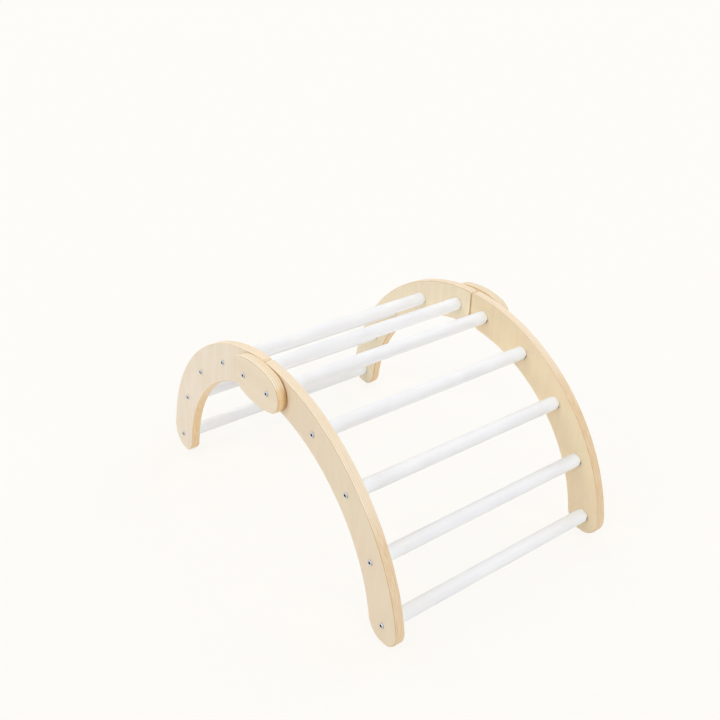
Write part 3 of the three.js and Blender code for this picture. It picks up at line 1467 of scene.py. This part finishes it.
@dataclass
class TurnedPattern:
    """A part turned about Y, kept as the pattern for a row of equal parts.

    Attributes:
        name: The pattern's name.
        profile: Its closed or axis-to-axis profile, as radius and place along Y.
        sides: The facets round it.
        socket_flats: The distance across the flats of a hexagon socket, or zero for none.
        socket_floor: The place of the socket's floor along Y.
        socket_ease: The chamfer at the socket's rim.
        socket_cone: How much deeper the socket is in the middle.
    """

    name: str
    profile: list[Point]
    sides: int
    socket_flats: float = 0.0
    socket_floor: float = 0.0
    socket_ease: float = 0.0
    socket_cone: float = 0.0

    def ring(self, target: bmesh.types.BMesh, radius: float, y: float) -> Ring:
        """Add a round ring, or one vertex where the radius is zero.

        Args:
            target: The mesh to add to.
            radius: The ring's radius.
            y: Its place along Y.

        Returns:
            The ring's vertices.
        """
        axis = (0.0, 0.0)
        if radius == 0:
            return add_ring(target, [axis], y)
        return add_ring(target, [polar(axis, radius, angle) for angle in full_turn(self.sides)], y)

    def hexagon_ring(self, target: bmesh.types.BMesh, grow: float, y: float) -> Ring:
        """Add a ring of the socket's hexagon.

        Args:
            target: The mesh to add to.
            grow: How far its flats lie outside the socket's.
            y: Its place along Y.

        Returns:
            The ring's vertices, as many as a round ring has.
        """
        flat = self.socket_flats / 2 + grow
        sector = 2 * math.pi / HEXAGON_SIDES
        corners = []
        for angle in full_turn(self.sides):
            from_flat = (angle + sector / 2) % sector - sector / 2
            corners.append(polar((0.0, 0.0), flat / math.cos(from_flat), angle))
        return add_ring(target, corners, y)

    def build(self) -> bpy.types.Object:
        """Build the pattern with its two attributes.

        Returns:
            The pattern's object.
        """
        turned = bmesh.new()
        rings = [self.ring(turned, radius, y) for radius, y in self.profile]
        socket: Ring = []
        if self.socket_flats:
            top = self.profile[-1][1]
            rim = self.hexagon_ring(turned, self.socket_ease, top)
            lip = self.hexagon_ring(turned, 0.0, top - self.socket_ease)
            floor = self.hexagon_ring(turned, 0.0, self.socket_floor)
            tip = self.ring(turned, 0.0, self.socket_floor - self.socket_cone)
            rings += [rim, lip, floor, tip]
            socket = [*lip, *floor, *tip]
        if self.profile[0][0] > 0:
            rings.append(rings[0])
        for lower, upper in zip(rings, rings[1:]):
            if len(lower) == 1 or len(upper) == 1:
                close_ring(turned, *sorted((lower, upper), key=len))
            else:
                join_rings(turned, lower, upper)
        turned.verts.index_update()
        deep = {corner.index for corner in socket}
        mesh = closed_mesh(turned, self.name)
        radii = mesh.attributes.new(RADIUS_NAME, "FLOAT", "POINT")
        radii.data.foreach_set("value", [math.hypot(v.co.x, v.co.z) for v in mesh.vertices])
        depths = mesh.attributes.new(SOCKET_NAME, "FLOAT", "POINT")
        depths.data.foreach_set("value", [float(v.index in deep) for v in mesh.vertices])
        return new_piece(self.name, mesh)


@dataclass(frozen=True)
class CircleRow:
    """A row of equal parts on the rung circle, on one or both sides of the arch.

    Attributes:
        pattern: The part, turned about Y.
        count: The parts in a row.
        sides: 1 for a row in the middle, 2 for a row on each side.
        first_angle: The first part's angle from the vertical.
        step_angle: The angle from one part to the next.
        side_offset: How far the rows lie from the middle.
        seed: The seed of the parts' own turns.
        material: The finish.
    """

    pattern: bpy.types.Object
    count: int
    sides: int
    first_angle: float
    step_angle: float
    side_offset: float
    seed: int
    material: bpy.types.Material


class CircleRowTree:
    """The Geometry Nodes group that sets out a row of parts on the rung circle.

    Attributes:
        INPUTS: The name and type of each input.
    """

    INPUTS: ClassVar[dict[str, str]] = {
        "Pattern": "NodeSocketObject",
        "Count": "NodeSocketInt",
        "Sides": "NodeSocketInt",
        "Circle Radius": "NodeSocketFloat",
        "Circle Height": "NodeSocketFloat",
        "First Angle": "NodeSocketFloat",
        "Step Angle": "NodeSocketFloat",
        "Side Offset": "NodeSocketFloat",
        "Seed": "NodeSocketInt",
        "Finish": "NodeSocketMaterial",
    }

    def __init__(self, layout: ArchLayout) -> None:
        """Build the group.

        Args:
            layout: Where the rung circle lies.
        """
        self.layout = layout
        self.group = bpy.data.node_groups.new("row on the rung circle", "GeometryNodeTree")
        self.group.is_modifier = True
        interface = self.group.interface
        self.sockets = {
            name: interface.new_socket(name=name, in_out="INPUT", socket_type=kind).identifier
            for name, kind in self.INPUTS.items()
        }
        interface.new_socket(name="Geometry", in_out="OUTPUT", socket_type="NodeSocketGeometry")
        self.wire()

    def wire(self) -> None:
        """Wire the group: points on the circle, parts on them, one plain mesh."""
        bench = NodeBench(self.group)
        inputs = bench.add("NodeGroupInput").outputs
        index = bench.add("GeometryNodeInputIndex").outputs["Index"]
        side = bench.math("FLOOR", bench.math("DIVIDE", index, inputs["Count"]))
        place_in_row = bench.minus(index, bench.times(side, inputs["Count"]))
        angle = bench.plus(inputs["First Angle"], bench.times(place_in_row, inputs["Step Angle"]))
        rise = bench.times(inputs["Circle Radius"], bench.math("COSINE", angle))
        sign = bench.minus(1.0, bench.times(side, 2.0))
        places = bench.add("ShaderNodeCombineXYZ", {
            "X": bench.times(inputs["Circle Radius"], bench.math("SINE", angle)),
            "Y": bench.times(sign, inputs["Side Offset"]),
            "Z": bench.plus(inputs["Circle Height"], rise),
        })
        total = bench.times(inputs["Count"], inputs["Sides"])
        points = bench.add("GeometryNodePoints", {"Count": total, "Position": places.outputs["Vector"]})
        own_turn = bench.add("FunctionNodeRandomValue", {
            "Min": -math.pi, "Max": math.pi, "ID": index, "Seed": inputs["Seed"],
        }, data_type="FLOAT")
        turn = bench.add("ShaderNodeCombineXYZ", {
            "X": bench.times(side, math.pi),
            "Y": open_socket(own_turn.outputs, "Value"),
        })
        pattern = bench.add("GeometryNodeObjectInfo", {"Object": inputs["Pattern"]})
        parts = bench.add("GeometryNodeInstanceOnPoints", {
            "Points": points.outputs[0],
            "Instance": pattern.outputs["Geometry"],
            "Rotation": turn.outputs["Vector"],
        })
        plain = bench.add("GeometryNodeRealizeInstances", {"Geometry": parts.outputs["Instances"]})
        dressed = bench.add("GeometryNodeSetMaterial", {
            "Geometry": plain.outputs["Geometry"], "Material": inputs["Finish"],
        })
        bench.add("NodeGroupOutput", {"Geometry": dressed.outputs["Geometry"]})

    def lay_out(self, name: str, row: CircleRow) -> bpy.types.Object:
        """Make a row as one plain mesh.

        Args:
            name: The piece's name.
            row: What the row holds.

        Returns:
            The piece, with no modifier left on it.
        """
        piece = new_piece(name, bpy.data.meshes.new(name))
        modifier = piece.modifiers.new("row", "NODES")
        modifier.node_group = self.group
        values = {
            "Pattern": row.pattern,
            "Count": row.count,
            "Sides": row.sides,
            "Circle Radius": self.layout.rung_circle,
            "Circle Height": self.layout.centre_height,
            "First Angle": row.first_angle,
            "Step Angle": row.step_angle,
            "Side Offset": row.side_offset,
            "Seed": row.seed,
            "Finish": row.material,
        }
        for socket, value in values.items():
            modifier[self.sockets[socket]] = value
        graph = bpy.context.evaluated_depsgraph_get()
        mesh = bpy.data.meshes.new_from_object(piece.evaluated_get(graph), depsgraph=graph)
        piece.modifiers.remove(modifier)
        piece.data = mesh
        mesh.name = name
        return piece


@dataclass
class SidePanels:
    """The four quarter-arc boards that carry the rungs.

    Attributes:
        SHEETS: The sheet that each panel is cut from.
        EDGES: What the cut edges of a sheet have of their own, with more painted shade on the steep edges
            of one sheet.
        layout: Where the arch's parts lie.
        stop_gap: The stop face's distance from the middle of the arch.
        stop_corner: The radius of the corner above the stop face.
        stop_rise: How far above the pivot the stop face begins.
        round_end_gap: The round end's further clearance from the stop plane.
        heel_corner: The radius of the corner below the round end.
        sag: How far a chord of the outline may stray.
        seed: The middle one of the boards' seeds.
    """

    SHEETS: ClassVar[dict[tuple[Half, Side], Sheet]] = {
        (Half.FRONT, Side.LEFT): Sheet.WHEAT,
        (Half.REAR, Side.LEFT): Sheet.ROSY,
        (Half.FRONT, Side.RIGHT): Sheet.HONEY,
        (Half.REAR, Side.RIGHT): Sheet.CREAM,
    }
    EDGES: ClassVar[dict[Sheet, dict[str, object]]] = {
        Sheet.WHEAT: {
            "dark_ply": srgb(238, 219, 192),
            "level_line": 0.72,
        },
        Sheet.ROSY: {
            "light_ply": srgb(246, 231, 206),
            "dark_ply": srgb(238, 217, 187),
            "glue": srgb(220, 184, 138),
            "line_share": 0.35,
        },
        Sheet.HONEY: {
            # More painted shade on this board's steep edges.
            "steep_share": 0.64,
            "steep_from": 0.88,
            "line_share": 0.5,
            "level_line": 0.3,
        },
    }

    layout: ArchLayout
    stop_gap: float = 0.0003
    stop_corner: float = 0.0075
    stop_rise: float = 0.005
    round_end_gap: float = 0.0002
    heel_corner: float = 0.0035
    sag: float = 0.00001
    seed: int = 3

    def crest_end(self) -> tuple[list[Arc], Point]:
        """The heel corner and the round end about the pivot, and where they meet the stop.

        Returns:
            The two arcs and the foot of the stop face.
        """
        plan = self.layout
        pivot = plan.on_circle(plan.rung_circle, plan.crest_angle)
        radius = pivot[0] - self.round_end_gap - self.stop_gap
        heel_reach = plan.inner_edge + self.heel_corner
        round_reach = radius - self.heel_corner
        heel_cosine = (plan.rung_circle ** 2 + heel_reach ** 2 - round_reach ** 2) / (
            2 * plan.rung_circle * heel_reach
        )
        heel = plan.on_circle(heel_reach, plan.crest_angle - math.acos(heel_cosine))
        from_arch = math.atan2(heel[1] - plan.centre_height, heel[0])
        from_pivot = math.atan2(heel[1] - pivot[1], heel[0] - pivot[0]) + 2 * math.pi
        stop_foot = (self.stop_gap, pivot[1] + self.stop_rise)
        reach = math.dist(stop_foot, pivot)
        to_stop = math.atan2(stop_foot[1] - pivot[1], stop_foot[0] - pivot[0])
        arcs = [
            Arc(heel, self.heel_corner, from_arch + math.pi, from_pivot),
            Arc(pivot, radius, from_pivot, to_stop + math.acos(radius / reach)),
        ]
        return arcs, stop_foot

    def outline(self) -> list[Point]:
        """The front panel's outline, from the stop face round the foot and back.

        Returns:
            The outline in X and Z.
        """
        plan = self.layout
        arch = (0.0, plan.centre_height)
        corner_reach = plan.outer_edge - self.stop_corner
        corner_x = self.stop_gap + self.stop_corner
        corner_rise = math.sqrt(corner_reach ** 2 - corner_x ** 2)
        outer_start = math.atan2(corner_rise, corner_x)
        foot_angle = plan.crest_angle + (plan.rungs_per_half - 1) * plan.rung_step
        foot_radius = (plan.outer_edge - plan.inner_edge) / 2
        foot = plan.on_circle(plan.inner_edge + foot_radius, foot_angle)
        foot_out = QUARTER - foot_angle
        flat_out = -math.asin(foot[1] / foot_radius)
        end_arcs, stop_foot = self.crest_end()
        arcs = [
            Arc((corner_x, plan.centre_height + corner_rise), self.stop_corner, math.pi, outer_start),
            Arc(arch, plan.outer_edge, outer_start, foot_out),
            Arc(foot, foot_radius, foot_out, flat_out),
            Arc(foot, foot_radius, -math.pi - flat_out, foot_out - math.pi),
            Arc(arch, plan.inner_edge, foot_out, end_arcs[0].start - math.pi),
            *end_arcs,
        ]
        return joined(arcs, self.sag, [stop_foot])

    def finish(self, half: Half, side: Side) -> PlywoodFinish:
        """Choose a panel's sheet and grain.

        Args:
            half: The panel's half.
            side: The panel's side.

        Returns:
            The panel's finish.
        """
        inner, outer = self.layout.panel_faces
        finish = PlywoodFinish(
            name=f"plywood {half.label} {side.label}",
            sheet=self.SHEETS[half, side],
            outer_face=outer,
            thickness=outer - inner,
            grain=Grain.UPRIGHT,
            seed=self.seed + 2 * half.value + side.value,
            bend=(self.layout.centre_height, self.layout.rung_circle),
        )
        return replace(finish, **self.EDGES.get(finish.sheet, {}))

    def build(self) -> None:
        """Build, dress and hand over the four panels."""
        outline = self.outline()
        centres = self.layout.rung_centres()
        for half in Half:
            for side in Side:
                turned_outline = [(half.value * x, z) for x, z in outline]
                bores = [(half.value * x, z) for x, z in centres]
                board = RoundedBoard(turned_outline, bores, side.placed(self.layout.panel_faces))
                name = f"panel_{half.label}_{side.label}"
                piece = new_piece(name, board.mesh(name))
                piece.data.materials.append(self.finish(half, side).material())
                hand_over(piece, half.body, [f"{half.label}_{side.label}_panel"])


@dataclass
class CrestJoint:
    """The two oval joint plates and the washers that hold them off the panels.

    Attributes:
        EDGE: What the cut edges of both plates have of their own, with less painted shade where they face
            down.
        EDGES: What the edge of each side's plate has besides, with the strength of its painted shade beside
            the panel.
        layout: Where the arch's parts lie.
        tree: The group that sets out the washers.
        end_radius: The radius of a plate's round ends.
        belly: How far a plate's long edges bulge.
        sag: How far a chord of the outline may stray.
        plate_seed: The middle one of the plates' seeds.
        washer_bore: The radius of a washer's hole.
        washer_ease: The round of a washer's edges.
        bore_steps: The facets across the round at its hole.
        rim_steps: The facets across the round at its rim.
        washer_sides: The facets round a washer.
        washer_seed: The seed of the washers' own turns.
    """

    EDGE: ClassVar[dict[str, object]] = {
        "under_share": 0.2,
        "steep_depth": 0.0016,
    }
    EDGES: ClassVar[dict[Side, dict[str, object]]] = {
        Side.LEFT: {
            # Strong painted shade beside the panel.
            "shelter": 0.85,
            "dark_ply": srgb(232, 211, 176),
            "steep_ply": srgb(238, 200, 136),
        },
        Side.RIGHT: {
            "shelter": 0.35,
            # Weaker painted shade beside the panel, and a paler, narrower painted seam shade.
            "light_ply": srgb(245, 238, 222),
            "dull_ply": srgb(237, 226, 206),
            "dark_ply": srgb(226, 209, 177),
            "steep_ply": srgb(230, 194, 134),
            "seam_line": srgb(222, 190, 134),
            "seam_width": 0.0024,
        },
    }

    layout: ArchLayout
    tree: CircleRowTree
    end_radius: float = 0.045
    belly: float = 0.0065
    sag: float = 0.00001
    plate_seed: int = 12
    washer_bore: float = 0.0033
    washer_ease: float = 0.0001
    bore_steps: int = 2
    rim_steps: int = 3
    washer_sides: int = 64
    washer_seed: int = 5

    def outline(self) -> list[Point]:
        """The plate's outline.

        Returns:
            The outline in X and Z.
        """
        offset, height = self.layout.on_circle(self.layout.rung_circle, self.layout.crest_angle)
        drop = (offset ** 2 - self.belly ** 2) / (2 * self.belly)
        belly_radius = drop + self.belly + self.end_radius
        end = math.atan2(drop, offset)
        arcs = [
            Arc((offset, height), self.end_radius, -end, end),
            Arc((0.0, height - drop), belly_radius, end, math.pi - end),
            Arc((-offset, height), self.end_radius, math.pi - end, math.pi + end),
            Arc((0.0, height + drop), belly_radius, math.pi + end, 2 * math.pi - end),
        ]
        return joined(arcs, self.sag)

    def finish(self, side: Side) -> PlywoodFinish:
        """Choose a plate's sheet and grain.

        Args:
            side: The plate's side.

        Returns:
            The plate's finish.
        """
        inner, outer = self.layout.plate_faces
        finish = PlywoodFinish(
            name=f"plywood plate {side.label}",
            sheet=Sheet.BISCUIT,
            outer_face=outer,
            thickness=outer - inner,
            grain=Grain.LENGTHWISE,
            seed=self.plate_seed + side.value,
        )
        return replace(finish, **self.EDGE, **self.EDGES[side])

    def build_plates(self) -> None:
        """Build, dress and hand over both plates."""
        offset, height = self.layout.rung_centres()[0]
        pivots = [(offset, height), (-offset, height)]
        for side in Side:
            board = RoundedBoard(self.outline(), pivots, side.placed(self.layout.plate_faces))
            name = f"oval_plate_{side.label}"
            piece = new_piece(name, board.mesh(name))
            piece.data.materials.append(self.finish(side).material())
            hand_over(piece, "joint_plates", [f"joint_plate_{side.label}"])

    def washer_profile(self, radius: float, reach: float) -> list[Point]:
        """A washer's profile, with its edges eased.

        Args:
            radius: The washer's radius.
            reach: Half its thickness.

        Returns:
            Points of radius and place along Y.
        """
        bore, ease = self.washer_bore, self.washer_ease
        return [
            *eased((bore, -reach), (bore, ease - reach), (bore + ease, -reach), self.bore_steps),
            *eased((radius, -reach), (radius - ease, -reach), (radius, ease - reach), self.rim_steps),
            *eased((radius, reach), (radius, reach - ease), (radius - ease, reach), self.rim_steps),
            *eased((bore, reach), (bore + ease, reach), (bore, reach - ease), self.bore_steps),
        ]

    def build_washers(self) -> None:
        """Build, dress and hand over the four washers as one piece."""
        low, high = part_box("pivot_washer_front_right")
        profile = self.washer_profile((high.z - low.z) / 2, (high.y - low.y) / 2)
        pattern = TurnedPattern("washer pattern", profile, self.washer_sides).build()
        row = CircleRow(
            pattern=pattern,
            count=2,
            sides=2,
            first_angle=-self.layout.crest_angle,
            step_angle=2 * self.layout.crest_angle,
            side_offset=(low.y + high.y) / 2,
            seed=self.washer_seed,
            material=TurnedSteelFinish("washer steel").material(),
        )
        piece = self.tree.lay_out("pivot_washers", row)
        bpy.data.objects.remove(pattern)
        nodes = [f"pivot_washer_{half.label}_{side.label}" for half in Half for side in Side]
        hand_over(piece, "joint_plates", nodes)

    def build(self) -> None:
        """Build the plates and the washers."""
        self.build_plates()
        self.build_washers()


@dataclass
class Rungs:
    """The ten white dowels, five in each half.

    Attributes:
        layout: Where the arch's parts lie.
        tree: The group that sets out the rungs.
        end_round: The round of the ends.
        end_steps: The facets across that round.
        bore_radius: The radius of the bore for the insert.
        bore_depth: The depth of that bore.
        sides: The facets round a rung.
        seed: The middle one of the halves' seeds.
    """

    layout: ArchLayout
    tree: CircleRowTree
    end_round: float = 0.002
    end_steps: int = 6
    bore_radius: float = 0.005
    bore_depth: float = 0.0193
    sides: int = 96
    seed: int = 20

    def profile(self) -> list[Point]:
        """The rung's profile from the floor of one bore to the floor of the other.

        Returns:
            Points of radius and place along Y.
        """
        radius, reach, ease = self.layout.rung_radius, self.layout.rung_reach, self.end_round
        upper = [
            (0.0, reach - self.bore_depth),
            (self.bore_radius, reach - self.bore_depth),
            (self.bore_radius, reach),
            *eased((radius, reach), (radius - ease, reach), (radius, reach - ease), self.end_steps),
            (radius, reach - 2 * ease),
        ]
        return [(r, -y) for r, y in upper] + upper[::-1]

    def build(self) -> None:
        """Build, dress and hand over the rungs of each half."""
        pattern = TurnedPattern("rung pattern", self.profile(), self.sides).build()
        paint = PaintFinish(self.layout.rung_reach).material()
        count = self.layout.rungs_per_half
        for half in Half:
            row = CircleRow(
                pattern=pattern,
                count=count,
                sides=1,
                first_angle=half.value * self.layout.crest_angle,
                step_angle=half.value * self.layout.rung_step,
                side_offset=0.0,
                seed=self.seed + half.value,
                material=paint,
            )
            piece = self.tree.lay_out(f"rungs_{half.label}", row)
            nodes = [f"rung_{half.label}_{i + 1}" for i in range(count)]
            hand_over(piece, half.body, nodes)
        bpy.data.objects.remove(pattern)


@dataclass
class CapBolts:
    """The cap bolts: four long ones at the crest and sixteen into the other rung ends.

    Attributes:
        layout: Where the arch's parts lie.
        tree: The group that sets out the bolts.
        cap_height: The height of a cap.
        cap_radius: The radius of a cap.
        crown_radius: The radius of the flat on top of a cap.
        crown_steps: The facets across the round beside that flat.
        cap_side: The height of a cap's upright side.
        cap_ease: The round under the cap's edge.
        cap_ease_steps: The facets across that round.
        shank_radius: The radius of a shank.
        tip_ease: The chamfer at a shank's tip.
        socket_flats: The distance across the flats of the socket.
        socket_depth: The depth of the socket.
        socket_ease: The chamfer round the socket.
        socket_cone: The depth of the drill point below the socket.
        sides: The facets round a bolt.
        seed: What the seeds of the bolts' own turns are counted from.
    """

    layout: ArchLayout
    tree: CircleRowTree
    cap_height: float = 0.0024
    cap_radius: float = 0.0065
    crown_radius: float = 0.0051
    crown_steps: int = 7
    cap_side: float = 0.0009
    cap_ease: float = 0.0002
    cap_ease_steps: int = 2
    shank_radius: float = 0.003
    tip_ease: float = 0.0008
    socket_flats: float = 0.0066
    socket_depth: float = 0.002
    socket_ease: float = 0.00015
    socket_cone: float = 0.0005
    sides: int = 48
    seed: int = 30

    def pattern(self, name: str, shank: float) -> bpy.types.Object:
        """Build a bolt whose cap sits on the plane at zero, with its shank towards -Y.

        Args:
            name: The pattern's name.
            shank: The length of the shank.

        Returns:
            The pattern.
        """
        top, radius, ease = self.cap_height, self.cap_radius, self.cap_ease
        profile = [
            (0.0, -shank),
            (self.shank_radius - self.tip_ease, -shank),
            (self.shank_radius, self.tip_ease - shank),
            (self.shank_radius, 0.0),
            *eased((radius, 0.0), (radius - ease, 0.0), (radius, ease), self.cap_ease_steps),
            *eased((radius, top), (radius, self.cap_side), (self.crown_radius, top), self.crown_steps),
        ]
        return TurnedPattern(
            name=name,
            profile=profile,
            sides=self.sides,
            socket_flats=self.socket_flats,
            socket_floor=top - self.socket_depth,
            socket_ease=self.socket_ease,
            socket_cone=self.socket_cone,
        ).build()

    def row(self, kind: str, half: Half, numbers: Sequence[int], steel: bpy.types.Material) -> None:
        """Build, dress and hand over one kind of bolt of one half.

        Args:
            kind: The kind's name in node names.
            half: The half.
            numbers: The numbers of the rungs that the bolts hold.
            steel: The finish.
        """
        low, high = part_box(f"{kind}_front_right_{numbers[0]}")
        seat = high.y - self.cap_height
        pattern = self.pattern(f"{kind} pattern", seat - low.y)
        first = self.layout.crest_angle + (numbers[0] - 1) * self.layout.rung_step
        row = CircleRow(
            pattern=pattern,
            count=len(numbers),
            sides=2,
            first_angle=half.value * first,
            step_angle=half.value * self.layout.rung_step,
            side_offset=seat,
            seed=self.seed + half.value + numbers[0],
            material=steel,
        )
        piece = self.tree.lay_out(f"{kind}s_{half.label}", row)
        bpy.data.objects.remove(pattern)
        nodes = [f"{kind}_{half.label}_{side.label}_{number}" for side in Side for number in numbers]
        hand_over(piece, half.body, nodes)

    def build(self) -> None:
        """Build all bolts."""
        steel = TurnedSteelFinish("bolt steel").material()
        for half in Half:
            self.row("pivot_bolt", half, [1], steel)
            self.row("rung_bolt", half, range(2, self.layout.rungs_per_half + 1), steel)


@dataclass
class Inserts:
    """The threaded inserts in the rung ends, which keep their solids' own meshes.

    Attributes:
        finish: Their brass.
    """

    finish: BrassFinish = field(default_factory=BrassFinish)

    def build(self) -> None:
        """Dress the solids."""
        brass = self.finish.material()
        names = [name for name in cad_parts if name.startswith("insert_")]
        for name in names:
            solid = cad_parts[name]
            solid.data.materials.clear()
            solid.data.materials.append(brass)
        LOG.info("%d inserts dressed in brass", len(names))


@dataclass
class Studio:
    """The pale floor, the soft light and the camera.

    Attributes:
        backdrop: What the camera sees of the floor and the world.
        floor_reach: Half the width of the floor.
        floor_albedo: How much light the floor gives back to the object.
        shadow_share: How much of the object's shadow the camera sees.
        sky_level: The level of the world's light.
        lamps: Where each soft lamp stands and what it adds on a surface turned to it.
        lamp_spread: The angle that each lamp's light covers.
        camera_place: The camera's place.
        azimuth: Its azimuth from the front of the left side towards the front feet.
        elevation: Its elevation.
        roll: Its roll.
        lens: Its focal length, in millimetres.
        sensor: Its sensor's width, in millimetres.
        shift: Its shift to the right and up.
        clip: The nearest and the furthest distance that it shows.
    """

    backdrop: Colour = srgb(254, 252, 248)
    floor_reach: float = 40.0
    floor_albedo: float = 0.92
    shadow_share: float = 0.15
    sky_level: float = 0.05
    lamps: tuple[tuple[Place, float], ...] = (
        ((1.0, 0.0, 0.8), 0.445),
        ((-1.0, 0.0, 0.8), 0.385),
        ((0.0, -1.0, 0.7), 0.385),
        ((0.0, 1.0, 0.8), 0.355),
    )
    lamp_spread: float = math.radians(60)
    camera_place: Place = (1.4719, -1.1862, 1.4186)
    azimuth: float = math.radians(53.207)
    elevation: float = math.radians(28.267)
    roll: float = math.radians(0.770)
    lens: float = 46.152
    sensor: float = 36.0
    shift: tuple[float, float] = (0.01514, -0.02243)
    clip: tuple[float, float] = (0.05, 200.0)

    @staticmethod
    def show_by_ray(bench: NodeBench, lighting: Socket, seen: Socket, output: str) -> None:
        """Show one shader to the rays that light the object and another to those that look.

        Args:
            bench: The tree's bench.
            lighting: The shader for rays that light the object.
            seen: The shader for camera, glossy and transmission rays.
            output: The type name of the output node.
        """
        path = bench.add("ShaderNodeLightPath").outputs
        sharp = bench.math("MAXIMUM", path["Is Glossy Ray"], path["Is Transmission Ray"])
        looking = bench.math("MAXIMUM", path["Is Camera Ray"], sharp)
        both = bench.add("ShaderNodeMixShader", {"Fac": looking})
        bench.feed(both.inputs[1], lighting)
        bench.feed(both.inputs[2], seen)
        bench.show(both.outputs[0], output)

    def open_light(self) -> float:
        """The light that an open floor receives."""
        return self.sky_level + sum(level * Vector(source).normalized().z for source, level in self.lamps)

    def floor_material(self) -> bpy.types.Material:
        """Make the floor's finish, which keeps a faint shadow.

        Returns:
            The material.
        """
        material = new_material("floor")
        bench = NodeBench(material.node_tree)
        shadowed = [level / self.open_light() for level in self.backdrop[:3]] + [1.0]
        lit = bench.add("ShaderNodeBsdfDiffuse", {"Color": shadowed})
        glow = bench.add("ShaderNodeEmission", {"Color": self.backdrop, "Strength": 1.0})
        seen = bench.add("ShaderNodeMixShader", {"Fac": self.shadow_share})
        bench.feed(seen.inputs[1], glow.outputs[0])
        bench.feed(seen.inputs[2], lit.outputs[0])
        bounce = bench.add("ShaderNodeBsdfDiffuse", {"Color": [self.floor_albedo] * 3 + [1.0]})
        self.show_by_ray(bench, bounce.outputs[0], seen.outputs[0], "ShaderNodeOutputMaterial")
        return material

    def build_floor(self) -> None:
        """Lay the floor."""
        reach = self.floor_reach
        plane = bmesh.new()
        corners = [(-reach, -reach, 0), (reach, -reach, 0), (reach, reach, 0), (-reach, reach, 0)]
        plane.faces.new([plane.verts.new(corner) for corner in corners])
        mesh = bpy.data.meshes.new("floor")
        plane.to_mesh(mesh)
        plane.free()
        mesh.materials.append(self.floor_material())
        new_piece("floor", mesh)

    def build_light(self) -> None:
        """Set up the world and the ring of soft lamps."""
        world = bpy.data.worlds.new("soft studio")
        bpy.context.scene.world = world
        world.use_nodes = True
        bench = NodeBench(world.node_tree)
        light = bench.add("ShaderNodeBackground", {"Color": WHITE, "Strength": self.sky_level})
        seen = bench.add("ShaderNodeBackground", {"Color": self.backdrop, "Strength": 1.0})
        self.show_by_ray(bench, light.outputs[0], seen.outputs[0], "ShaderNodeOutputWorld")
        for number, (source, level) in enumerate(self.lamps):
            lamp = bpy.data.lights.new(f"lamp_{number}", "SUN")
            lamp.energy = level * math.pi
            lamp.angle = self.lamp_spread
            stand = bpy.data.objects.new(f"lamp_{number}", lamp)
            stand.rotation_euler = Vector(source).to_track_quat("Z", "Y").to_euler()
            bpy.context.scene.collection.objects.link(stand)

    def build_camera(self) -> None:
        """Place the camera at the photograph's angle."""
        turn, tilt = self.azimuth, self.elevation
        back = Vector((math.sin(turn) * math.cos(tilt), -math.cos(turn) * math.cos(tilt), math.sin(tilt)))
        right = (-back).cross(Vector((0, 0, 1))).normalized()
        up = right.cross(-back)
        level = Matrix((right, up, back)).transposed()
        turned = level @ Matrix.Rotation(self.roll, 3, "Z")
        data = bpy.data.cameras.new("camera")
        data.lens = self.lens
        data.sensor_width = self.sensor
        data.shift_x, data.shift_y = self.shift
        data.clip_start, data.clip_end = self.clip
        camera = bpy.data.objects.new("camera", data)
        camera.matrix_world = Matrix.Translation(self.camera_place) @ turned.to_4x4()
        bpy.context.scene.collection.objects.link(camera)
        bpy.context.scene.camera = camera

    def build(self) -> None:
        """Build the stage."""
        bpy.context.scene.view_settings.view_transform = "Standard"
        self.build_floor()
        self.build_light()
        self.build_camera()
        LOG.info("studio with floor, world, %d lamps and camera", len(self.lamps))


def main() -> None:
    """Build the arch and its stage."""
    logging.basicConfig(level=logging.INFO, format="%(name)s: %(message)s")
    layout = ArchLayout.from_frame()
    tree = CircleRowTree(layout)
    assemblies = (
        SidePanels(layout),
        CrestJoint(layout, tree),
        Rungs(layout, tree),
        CapBolts(layout, tree),
        Inserts(),
        Studio(),
    )
    for assembly in assemblies:
        assembly.build()


if __name__ == "__main__":
    main()
